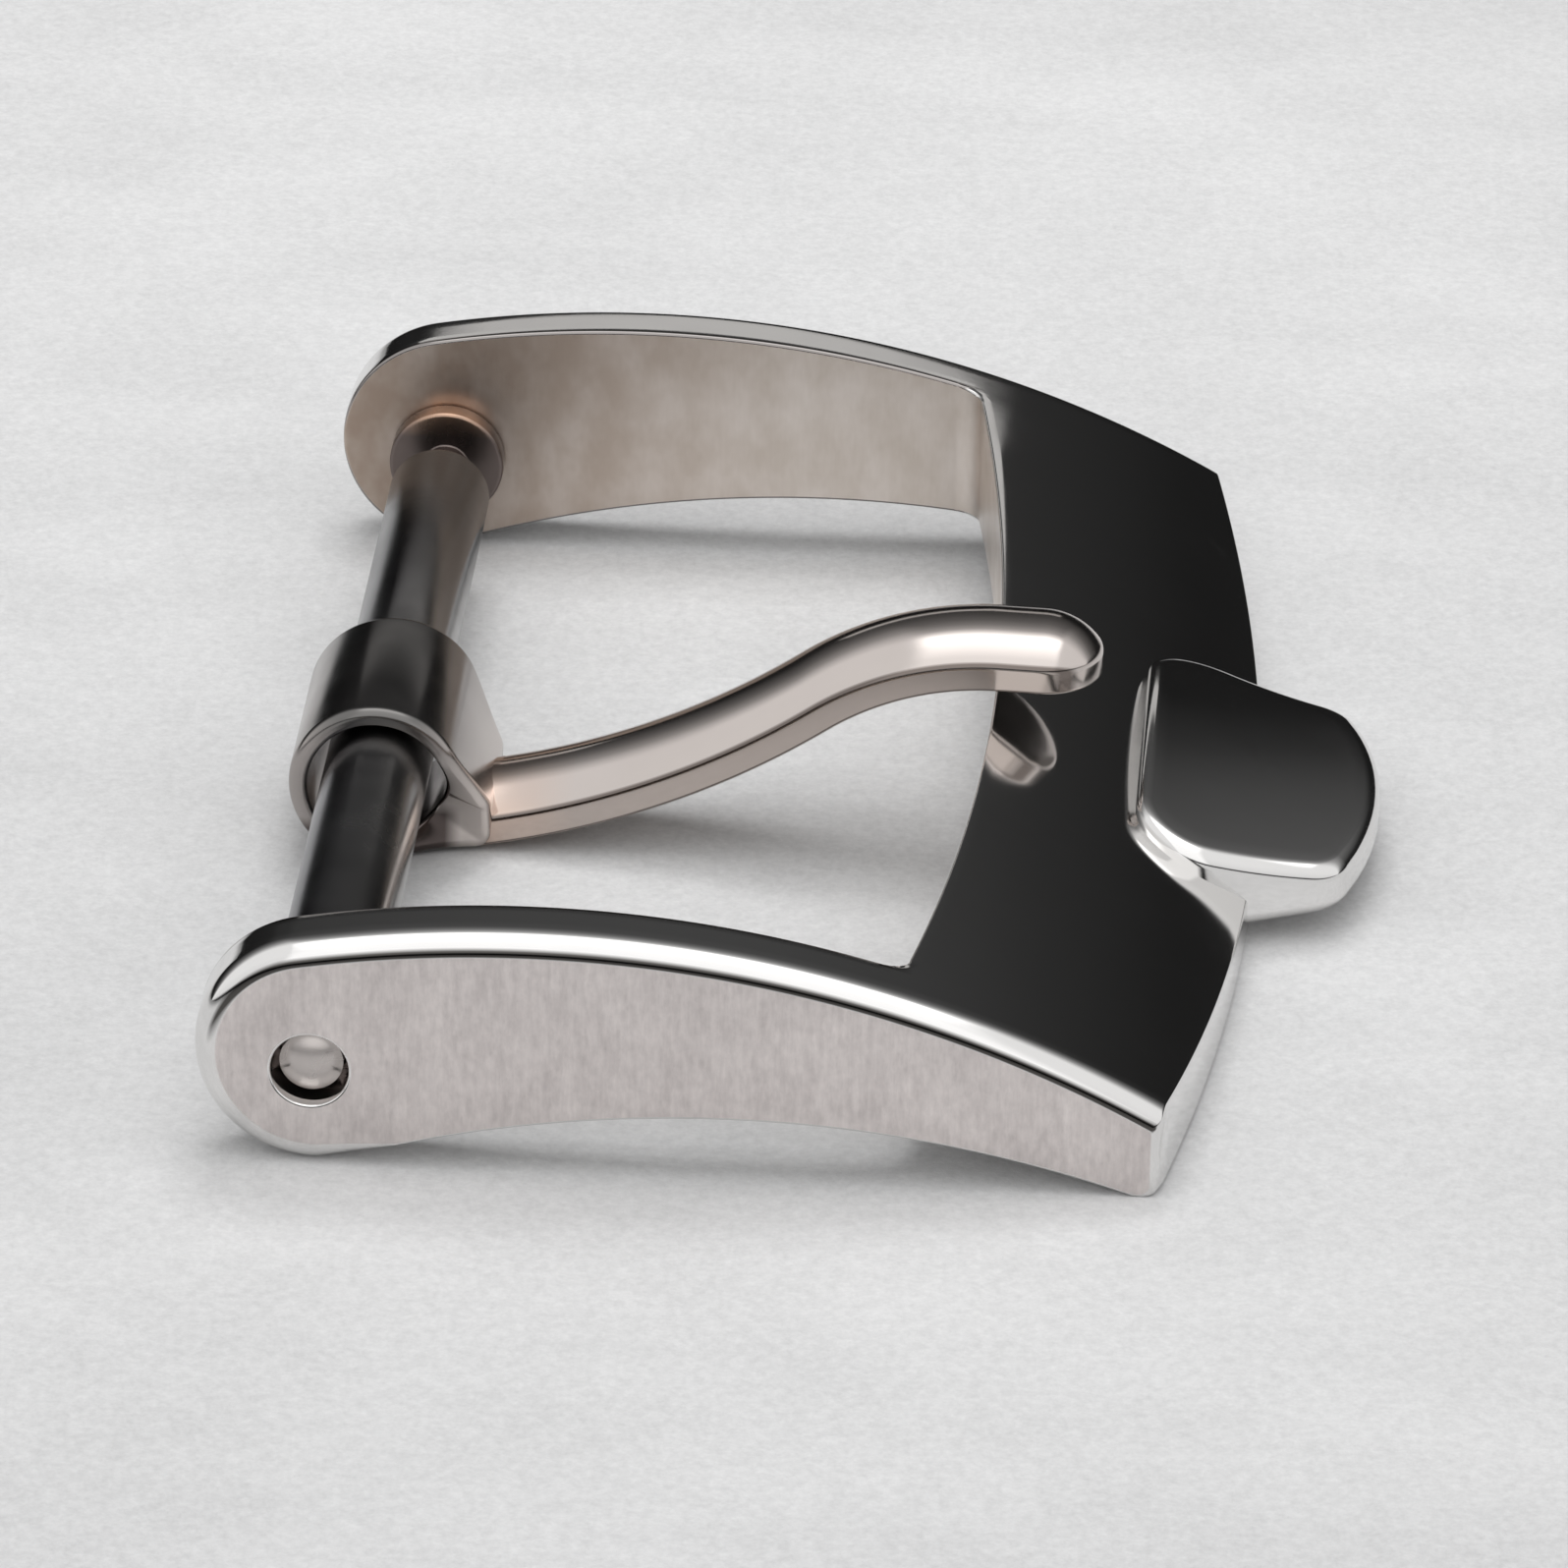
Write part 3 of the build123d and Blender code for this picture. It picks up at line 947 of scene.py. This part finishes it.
pin_steel = steel(
    "pin_steel", (0.56, 0.52, 0.50), roughness=0.30, grain_scale=(2.5, 30.0, 2.5), grain=0.6,
    hairlines=0.4,
    # The flanges are nearly black; their tops carry a painted coppery highlight.
    places=[(flange, (0.17, 0.14, 0.13)), (flange_top_painted_highlight, (0.58, 0.38, 0.27))],
)
wire_steel = steel(
    "wire_steel", (0.55, 0.55, 0.56), roughness=0.25, grain_scale=5.0, grain=0.5,
    hairlines=0.0,
)
frame_skin.data.materials.append(polished)
print("finishes", [m.name for m in bpy.data.materials if m.name.endswith("steel")])

# %% [markdown]
# ## The strap bar
#
# The bar is a tube with a spring inside. The spring presses a pin out of each end, and the ends of
# the tube are turned in so that the pins can't fall out. The tube's outline runs once round its
# wall, and a pin's runs from the dome on its tip past the flange and the neck to its head.

# %% Turn the tube and the pins
tube_outline = rounded(
    [
        (LIP_RADIUS, -TUBE_HALF + 0.10), (LIP_RADIUS, -TUBE_HALF), (TUBE_RADIUS, -TUBE_HALF),
        (TUBE_RADIUS, TUBE_HALF), (LIP_RADIUS, TUBE_HALF), (LIP_RADIUS, LIP_INNER),
        (TUBE_BORE, LIP_INNER), (TUBE_BORE, -LIP_INNER), (LIP_RADIUS, -LIP_INNER),
        (LIP_RADIUS, -TUBE_HALF + 0.10),
    ],
    (0.04, 0.10, 0.10, 0.04, 0, 0, 0, 0),
)
bar_tube = turned("bar_tube_fine", tube_outline, bar_steel)
dome = [(out, PIVOT_END - down) for out, down in bowed(PIVOT_RADIUS, PIVOT_DOME, 8)]
shank = rounded(
    [
        dome[-1], (PIVOT_RADIUS, FLANGE_OUTER), (FLANGE_RADIUS, FLANGE_OUTER),
        (FLANGE_RADIUS, FLANGE_INNER), (NECK_RADIUS, FLANGE_INNER), (NECK_RADIUS, HEAD_OUTER),
        (HEAD_RADIUS, HEAD_OUTER), (HEAD_RADIUS, HEAD_INNER), (0, HEAD_INNER),
    ],
    (0, 0.05, 0.05, 0.03, 0, 0.04, 0.04),
)
pin_outline = dome + shank[1:]
far_pin = turned("far_pin_fine", pin_outline, pin_steel, facets=96)
near_pin = turned("near_pin_fine", [(r, -y) for r, y in pin_outline], pin_steel, facets=96)

# %% [markdown]
# The spring is a wire along a spiral, which is the plainest use of Geometry Nodes: a Spiral curve,
# a round profile and Curve to Mesh.

# %% Wind the spring
SPRING_RADIUS, SPRING_WIRE, SPRING_HALF, SPRING_PITCH = 0.34, 0.12, 5.73, 1.6


def coil(tree, given):
    """Nodes that wind a wire along a spiral from one end of the bar to the other."""
    radius = tree.out(given, "Radius")
    spiral = tree.add(
        "GeometryNodeCurveSpiral", Resolution=24, Rotations=tree.out(given, "Turns"),
        Start_Radius=radius, End_Radius=radius, Height=tree.out(given, "Length"),
    )
    wire = tree.add(
        "GeometryNodeCurvePrimitiveCircle", Resolution=12, Radius=tree.out(given, "Wire") / 2
    )
    swept = tree.add(
        "GeometryNodeCurveToMesh", Curve=spiral.outputs[0], Profile_Curve=wire.outputs[0],
        Fill_Caps=True,
    )
    laid = tree.add(
        "GeometryNodeTransform", Geometry=swept.outputs[0], Rotation=(radians(-90), 0, 0),
        Translation=(0, -SPRING_HALF * MM, 0),
    )
    return laid.outputs[0]


winding = {
    "Turns": 2 * SPRING_HALF / SPRING_PITCH, "Radius": SPRING_RADIUS * MM,
    "Length": 2 * SPRING_HALF * MM, "Wire": SPRING_WIRE * MM,
}
bar_spring = grown("bar_spring_fine", [], coil, winding, wire_steel)
for polygon in bar_spring.data.polygons:
    polygon.use_smooth = len(polygon.vertices) == 4
print("spring turns", round(winding["Turns"], 1))

# %% [markdown]
# When a pin is pushed in, it presses its own half of the spring shorter. So the one wire is kept as
# two halves, cut at the middle of the bar.

# %% Cut the spring in two
def half_of(whole, name, way):
    """The part of a wire on one side of the bar's middle, closed where it is cut."""
    wire = bmesh.new()
    wire.from_mesh(whole.data)
    everything = wire.verts[:] + wire.edges[:] + wire.faces[:]
    cut = bmesh.ops.bisect_plane(
        wire, geom=everything, plane_co=(0, 0, 0), plane_no=(0, -way, 0), clear_outer=True
    )
    rim = [e for e in cut["geom_cut"] if isinstance(e, bmesh.types.BMEdge)]
    bmesh.ops.contextual_create(wire, geom=rim)
    data = bpy.data.meshes.new(name)
    wire.to_mesh(data)
    wire.free()
    data.materials.append(wire_steel)
    print(name, "faces", len(data.polygons))
    return placed(name, data)


near_spring = half_of(bar_spring, "near_spring_fine", -1)
far_spring = half_of(bar_spring, "far_spring_fine", 1)
bpy.data.objects.remove(bar_spring)

# %% [markdown]
# ## The tongue
#
# The blade is half-round wire: flat below, crowned above, with upright sides. It follows a path
# that dips away from the eye, humps, and runs out almost level over the crossbar. Its section is
# one list of places and heights from the crest over the rim and back underneath. The rows travel
# up one side, round the tip and down the other side, so the crown closes over the tip as a dome.

# %% The blade's path
BLADE_START = (1.20, TABLE + 0.44)
BLADE_HALF, BLADE_THICKNESS, BLADE_SIDE, BLADE_TIP_X = 0.75, 0.74, 0.35, 8.86
DIP_RADIUS, HUMP_RADIUS = 10.26, 3.81
ANGLES = [radians(a) for a in (10.0, 35.0, -2.0)]
DIP_LENGTH = DIP_RADIUS * (ANGLES[1] - ANGLES[0])
HUMP_LENGTH = HUMP_RADIUS * (ANGLES[1] - ANGLES[2])


def blade_at(s):
    """Middle of the blade at a distance along it, and the direction up out of it."""
    in_dip = min(s, DIP_LENGTH)
    in_hump = min(max(s - DIP_LENGTH, 0), HUMP_LENGTH)
    beyond = max(s - DIP_LENGTH - HUMP_LENGTH, 0)
    dip_angle = ANGLES[0] + in_dip / DIP_RADIUS
    hump_angle = ANGLES[1] - in_hump / HUMP_RADIUS
    x = BLADE_START[0] + DIP_RADIUS * (sin(dip_angle) - sin(ANGLES[0]))
    z = BLADE_START[1] + DIP_RADIUS * (cos(ANGLES[0]) - cos(dip_angle))
    x += HUMP_RADIUS * (sin(ANGLES[1]) - sin(hump_angle)) + beyond * cos(ANGLES[2])
    z += HUMP_RADIUS * (cos(hump_angle) - cos(ANGLES[1])) + beyond * sin(ANGLES[2])
    angle = dip_angle if s < DIP_LENGTH else hump_angle
    return Vector((x, 0, z)), Vector((-sin(angle), 0, cos(angle)))


hump_end = blade_at(DIP_LENGTH + HUMP_LENGTH)[0].x
tip_s = DIP_LENGTH + HUMP_LENGTH + (BLADE_TIP_X - BLADE_HALF - hump_end) / cos(ANGLES[2])
print("blade length", round(tip_s + BLADE_HALF, 2), "mm")

# %% [markdown]
# The section begins as an arc with two straight sides. Handling has worn its shoulders round, and
# the round there is wider than the one below.

# %% Its section: crest, crown, rim, side, foot and back under the middle
SHOULDER_ROUND, BLADE_FOOT_ROUND = 0.18, 0.07
top = BLADE_THICKNESS / 2
crown = bowed(BLADE_HALF, BLADE_THICKNESS - BLADE_SIDE, 13)
half_section = [(out, top - down) for out, down in crown]
corners = rounded(
    [half_section[-2], half_section[-1], (BLADE_HALF, -top), (0, -top)],
    (SHOULDER_ROUND, BLADE_FOOT_ROUND), count=7,
)
half_section = half_section[:-1] + corners[1:-1]
half_section += [(y, -top) for y in steps(half_section[-1][0], 0, 4)[1:]]
print("points in half a section", len(half_section))

# %% [markdown]
# Each row is half a section, standing at its place along the path and turned to its side. At the
# tip the rows turn through half a circle, which closes the crown as a dome.

# %% Make the blade
along = steps(0, tip_s, 110)
outline_places = [(s, pi / 2) for s in along[:-1]]
outline_places += [(tip_s, a) for a in steps(pi / 2, -pi / 2, 36)]
outline_places += [(s, -pi / 2) for s in along[-2::-1]]


def blade_row(s, angle):
    """Half a section at a distance along the path, turned by an angle from straight ahead."""
    row = []
    for reach, height in half_section:
        point, upwards = blade_at(s + reach * cos(angle))
        at = point + upwards * height
        row.append((at.x, reach * sin(angle), at.z))
    return row


blade = bmesh.new()
sheet_of(blade, [blade_row(s, a) for s, a in outline_places])
bmesh.ops.remove_doubles(blade, verts=blade.verts, dist=MERGE)
bmesh.ops.holes_fill(blade, edges=[e for e in blade.edges if e.is_boundary], sides=0)
tongue_blade = closed_piece("tongue_blade", blade)
tongue_blade.data.materials.append(tongue_steel)
tongue_blade = smooth_by_angle(tongue_blade, angle=50)

# %% [markdown]
# The eye is a loop round the bar with a thick root below, where the blade grows out of it. Its
# outline is the tight band round three circles: the loop itself and the root's two front corners.
# Each outline point is the one that lies furthest out in its own direction, so the point and its
# normal come together. Each row of points then runs once round the metal: through the bore, over
# its broken edge, across the end, over the outer round and back along the outside.

# %% Outline of the eye
EYE_Z, EYE_RADIUS, EYE_BORE, EYE_HALF = -0.13, 1.08, 0.85, 1.325
EYE_ROUND, BORE_ROUND, EYE_STEP = 0.12, 0.05, 0.05
ROOT_X, ROOT_HEIGHT, ROOT_FOOT, ROOT_CORNER = 1.38, 0.90, 0.06, 0.22
eye_circles = [
    (0.0, EYE_Z, EYE_RADIUS),
    (ROOT_X - ROOT_CORNER, TABLE + ROOT_HEIGHT - ROOT_CORNER, ROOT_CORNER),
    (ROOT_X - ROOT_CORNER, TABLE + ROOT_FOOT + ROOT_CORNER, ROOT_CORNER),
]


def furthest(angle):
    """The furthest point of the band in a direction, with that direction."""
    n = Vector((cos(angle), sin(angle)))
    x, z, r = max(eye_circles, key=lambda c: c[0] * n[0] + c[1] * n[1] + c[2])
    return Vector((x, z)) + n * r, n


eye_line = []
for a in steps(0, 2 * pi, 200):
    point, n = furthest(a)
    if eye_line:
        before, n_before = eye_line[-1]
        pieces = max(1, int((point - before).length / EYE_STEP))
        for share in [k / pieces for k in range(1, pieces)]:
            eye_line.append((before.lerp(point, share), n_before.lerp(n, share).normalized()))
    eye_line.append((point, n))
print("points round the eye", len(eye_line))

# %% [markdown]
# The loop is rolled from the blade's own end, so it is as narrow as the blade at the root and
# grows to its full width on the way up and round the bar. An extra point just beyond each round
# keeps the loop's ends flat up to it.

# %% Make the eye
ROOT_HALF, WIDENING, BEYOND_ROUND = 0.80, radians(70), 0.012
root_way = Vector((ROOT_X, TABLE + ROOT_FOOT - EYE_Z)).normalized()


def half_width(outward):
    """Half the eye's width in a direction from the bar."""
    turn = min(outward.angle(root_way) / WIDENING, 1.0)
    eased = turn * turn * (3 - 2 * turn)
    return ROOT_HALF + (EYE_HALF - ROOT_HALF) * eased


def eye_row(point, normal):
    """Points once round the metal of the loop: bore, one end, outside and the other end."""
    centre = Vector((0, EYE_Z))
    outward = (point - centre).normalized()
    reach = half_width(outward)
    bore, rim = quarter(BORE_ROUND, 5), quarter(EYE_ROUND, 8)[::-1]
    half = [(centre + outward * (EYE_BORE + inset), reach - drop) for inset, drop in bore]
    half.append((centre + outward * (EYE_BORE + BORE_ROUND + BEYOND_ROUND), reach))
    half.append((point - normal * (EYE_ROUND + BEYOND_ROUND), reach))
    half += [(point - normal * inset, reach - drop) for inset, drop in rim]
    row = [(p.x, y, p.y) for p, y in half] + [(p.x, -y, p.y) for p, y in half[::-1]]
    return row + row[:1]


eye = bmesh.new()
sheet_of(eye, [eye_row(p, n) for p, n in eye_line])
tongue_eye = closed_piece("tongue_eye", eye)
tongue_eye.data.materials.append(painted_dark_eye_steel)

# %% [markdown]
# ## The thumb tab
#
# A smooth tab on the crossbar's front edge gives the thumb something to press. Its plan is a
# rounded trapezium. Its top is dished from front to back and crowned from side to side, so that it
# catches the light as one soft shape.

# %% Sizes of the tab
TAB_BACK_X, TAB_TIP_X = 9.35, 12.30
TAB_BACK_HALF, TAB_TIP_HALF, TAB_TIP_BOW = 2.80, 2.20, 0.45
TAB_DISH, TAB_CROWN, TAB_ROUND = 0.14, 0.18, 0.20
TAB_CORNER, TAB_TIP_CORNER, TAB_STEP = 0.80, 0.62, 0.12
TAB_TOP = [
    (TAB_BACK_X, TABLE + 1.80),
    ((TAB_BACK_X + TAB_TIP_X) / 2, TABLE + 1.41 - TAB_DISH),
    (TAB_TIP_X, TABLE + 1.02),
]
TAB_FOOT = (TABLE + 0.10, TABLE + 0.40)


def tab_top(x, y):
    """Height of the top: the curve through its three given points, less the crown's fall."""
    (x0, z0), (x1, z1), (x2, z2) = TAB_TOP
    dish = z0 * (x - x1) * (x - x2) / ((x0 - x1) * (x0 - x2))
    dish += z1 * (x - x0) * (x - x2) / ((x1 - x0) * (x1 - x2))
    dish += z2 * (x - x0) * (x - x1) / ((x2 - x0) * (x2 - x1))
    return dish - TAB_CROWN * (y / TAB_BACK_HALF) ** 2


def tab_foot(x):
    """Height of the underside, which rises evenly to the tip."""
    return TAB_FOOT[0] + (TAB_FOOT[1] - TAB_FOOT[0]) * (x - TAB_BACK_X) / (TAB_TIP_X - TAB_BACK_X)


print("tab", round(TAB_TIP_X - TAB_BACK_X, 2), "mm long")

# %% [markdown]
# Half the outline in plan has two rounded corners and half the tip's bow. It is cut into short
# steps, and mirrored for the other side.

# %% Its outline in plan
bow = [(TAB_TIP_X - down, out) for out, down in bowed(TAB_TIP_HALF, TAB_TIP_BOW, 10)[::-1]]
half_plan = rounded(
    [(TAB_BACK_X, 0), (TAB_BACK_X, TAB_BACK_HALF), bow[0], bow[2]],
    (TAB_CORNER, TAB_TIP_CORNER), count=14,
)
half_plan = half_plan[:-1] + bow[3:]
fine_plan = []
for a, b in zip(half_plan, half_plan[1:]):
    run, across_by = b[0] - a[0], b[1] - a[1]
    pieces = max(1, int(hypot(run, across_by) / TAB_STEP))
    fine_plan += [(a[0] + run * k / pieces, a[1] + across_by * k / pieces) for k in range(pieces)]
fine_plan.append(half_plan[-1])
plan = fine_plan + [(x, -y) for x, y in fine_plan[-2:0:-1]]
print("points round the tab", len(plan))

# %% [markdown]
# At each point of the outline a row runs from the middle of the top over the rim to the middle of
# the underside. The rim's round is measured inwards from the outline.

# %% Make the thumb tab
tab_middle = (10.85, 0.0)


def tab_row(k):
    """Points from the middle of the top over the rim at outline point k to the middle below."""
    (x, y), before, after = plan[k], plan[k - 1], plan[(k + 1) % len(plan)]
    along_x, along_y = after[0] - before[0], after[1] - before[1]
    size = hypot(along_x, along_y)
    inward = Vector((along_y / size, -along_x / size))
    if inward.dot(Vector((tab_middle[0] - x, tab_middle[1] - y))) < 0:
        inward = -inward
    over, below = [], []
    for inset, drop in quarter(TAB_ROUND, 7):
        px, py = x + inward.x * inset, y + inward.y * inset
        over.append((px, py, tab_top(px, py) - drop))
        below.append((px, py, tab_foot(px) + drop))
    edge = over[-1]
    for share in steps(0, 1, 10)[1:]:
        px = edge[0] + (tab_middle[0] - edge[0]) * share
        py = edge[1] + (tab_middle[1] - edge[1]) * share
        over.append((px, py, tab_top(px, py)))
        below.append((px, py, tab_foot(px)))
    return over[::-1] + below


tab = bmesh.new()
sheet_of(tab, [tab_row(k) for k in list(range(len(plan))) + [0]])
thumb_tab = closed_piece("thumb_tab_fine", tab)
thumb_tab.data.materials.append(tab_steel)
thumb_tab = smooth_by_angle(thumb_tab, angle=50)

# %% [markdown]
# ## Each piece rides on its body
#
# The simulation moves bodies, so every fine piece is put on the body that it rides on, and the
# solid that it stands for is hidden. The halves of the spring are only baked where they lie, and
# the spring's solid is hidden.

# %% Put the pieces on their bodies
riding = [
    (frame_skin, "frame", "frame"), (thumb_tab, "frame", "thumb_tab"),
    (bar_tube, "spring_bar", "bar_tube"),
    (near_pin, "near_pin", "near_pin"), (far_pin, "far_pin", "far_pin"),
    (tongue_blade, "tongue", "tongue"), (tongue_eye, "tongue", "tongue"),
]
for piece, body, node in riding:
    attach(piece, body)
    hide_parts(node)
    low = [min(v.co[k] for v in piece.data.vertices) / MM for k in range(3)]
    high = [max(v.co[k] for v in piece.data.vertices) / MM for k in range(3)]
    print(piece.name, [round(c, 2) for c in low], [round(c, 2) for c in high])
spring_ends = [(near_spring, "near_pin", -SPRING_HALF), (far_spring, "far_pin", SPRING_HALF)]
for half, pin, end in spring_ends:
    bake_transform(half)
    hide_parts("bar_spring")

# %% [markdown]
# ## The table
#
# The buckle lies on white paper. The paper has fine fibres and slow folds, both only a little
# darker than the rest, and a painted shade darkens it slowly far away from the buckle, where less
# light falls.

# %% Table
TABLE_REACH = 1.5
PAPER, PAPER_SHADE, PAPER_FAR_PAINTED_SHADE = (0.725, 0.725, 0.727), (0.55, 0.55, 0.552), (0.33, 0.33, 0.33)
table_corners = [
    (x * TABLE_REACH, y * TABLE_REACH, TABLE * MM) for x, y in ((-1, -1), (1, -1), (1, 1), (-1, 1))
]
table_data = bpy.data.meshes.new("table_top")
table_data.from_pydata(table_corners, [], [(0, 1, 2, 3)])
table_top = placed("table_top", table_data)
card = bpy.data.materials.new("white_card")
paper_tree = empty_tree(card)
spot = Spot(paper_tree)
fibres = spot.noise(7.5, 5.0, 0.75).ramp(0.3, 0.7)
folds = spot.noise((0.25, 0.4, 0.3), 2.0).ramp(0.3, 0.7)
away = (spot.x ** 2 + spot.y ** 2) ** 0.5
paper = mixed(paper_tree, fibres * 0.7 + folds * 0.3, PAPER, PAPER_SHADE)
# Painted shade: the paper darkens far from the buckle.
paper = mixed(paper_tree, away.ramp(24 * MM, 62 * MM), paper, PAPER_FAR_PAINTED_SHADE)
finished(paper_tree, paper, fibres, 0.25, 0.00002, Roughness=0.9, Specular_IOR_Level=0.2)
table_data.materials.append(card)
print("table", 2 * TABLE_REACH, "m wide")

# %% [markdown]
# ## The light
#
# What a polished surface shows is its surroundings, so the light's place matters more than its
# strength. The flat tops mirror what stands low behind the buckle, which is dark. The rounds along
# their edges mirror what is above and in front, which is bright. So the room is one soft gradient:
# its height is counted in degrees from the horizon on the camera's side, over the top, to the far
# horizon. A ceiling light runs down its middle, and the walls beside it are duller.

# %% The room as one soft gradient
BRIGHTEST = 2.4
CEILING = [
    (0, 0.01), (5, 0.02), (12, 1.20), (60, 1.3), (80, 1.9), (88, 2.4), (98, 2.4), (103, 1.3),
    (110, 0.50), (120, 0.27), (130, 0.16), (142, 0.10), (152, 0.065), (158, 0.03), (164, 0.013),
    (180, 0.01),
]
WALLS = [
    (0, 0.01), (5, 0.02), (12, 0.85), (50, 0.95), (99, 0.95), (111, 0.66),
    (121, 0.38), (134, 0.20), (143, 0.12), (153, 0.07), (163, 0.02), (180, 0.01),
]
world = bpy.data.worlds.new("room")
room = empty_tree(world)
towards = room.add("ShaderNodeTexCoord").outputs["Generated"]
way = room.add("ShaderNodeSeparateXYZ", Vector=towards)
over_the_top = room.out(way, "Z").angle_over(-room.out(way, "Y")) / pi


def levels(stops):
    """Brightness over the turn from the near horizon to the far one."""
    ramp = room.add("ShaderNodeValToRGB", Fac=over_the_top)
    while len(ramp.color_ramp.elements) < len(stops):
        ramp.color_ramp.elements.new(0.5)
    for stop, (degrees_up, level) in zip(ramp.color_ramp.elements, stops):
        share = level / BRIGHTEST
        stop.position, stop.color = degrees_up / 180, (share, share, share, 1)
    return room.out(ramp, "Color")


across_room = room.out(way, "X")
beside = (-across_room).ramp(0.31, 0.38).most(across_room.ramp(0.38, 0.48))
brightness = levels(CEILING) * (1 - beside) + levels(WALLS) * beside
glow = mixed(room, brightness, (0.0, 0.0, 0.0), (BRIGHTEST, BRIGHTEST, BRIGHTEST))
background = room.add("ShaderNodeBackground", Color=glow)
room.add("ShaderNodeOutputWorld", Surface=background.outputs[0])
bpy.context.scene.world = world
bpy.context.scene.view_settings.view_transform = "Standard"
print("room levels", len(CEILING), "and", len(WALLS))

# %% [markdown]
# Two soft boxes finish the light. The lamp stands above and a little behind, so the shadows fall
# softly towards the camera, and it isn't mirrored in the steel. The card stands low behind the
# buckle, where only the far arm's top mirrors it, and gives that arm its grey sheen.

# %% A lamp above and behind, and a small card low behind the buckle
def soft_light(name, centre, along, towards, width, height, brightness, colour, mirrored=True):
    """A soft box, its sizes in millimetres. Its power follows from how bright it looks."""
    lamp = bpy.data.lights.new(name, "AREA")
    lamp.shape, lamp.size, lamp.size_y = "RECTANGLE", width * MM, height * MM
    lamp.energy = brightness * pi * width * height * MM**2
    lamp.color = colour
    obj = placed(name, lamp)
    back = (Vector(centre) - Vector(towards)).normalized()
    side = (Vector(along) - back * Vector(along).dot(back)).normalized()
    obj.matrix_world = Matrix((side, back.cross(side), back)).transposed().to_4x4()
    obj.matrix_world.translation = Vector(centre) * MM
    obj.visible_camera = False
    obj.visible_glossy = mirrored
    print(name, "brightness", brightness)


soft_light(
    "far_card", centre=(1.5, 35, 14.5), along=(1, 0, 0), towards=(2, 8, 1.8), width=26, height=4,
    brightness=0.5, colour=(1.0, 0.98, 0.96),
)
soft_light(
    "lamp", centre=(5, 46, 108), along=(1, 0, 0), towards=(4, 0, 0), width=56, height=38,
    brightness=6.2, colour=(1.0, 1.0, 1.0), mirrored=False,
)
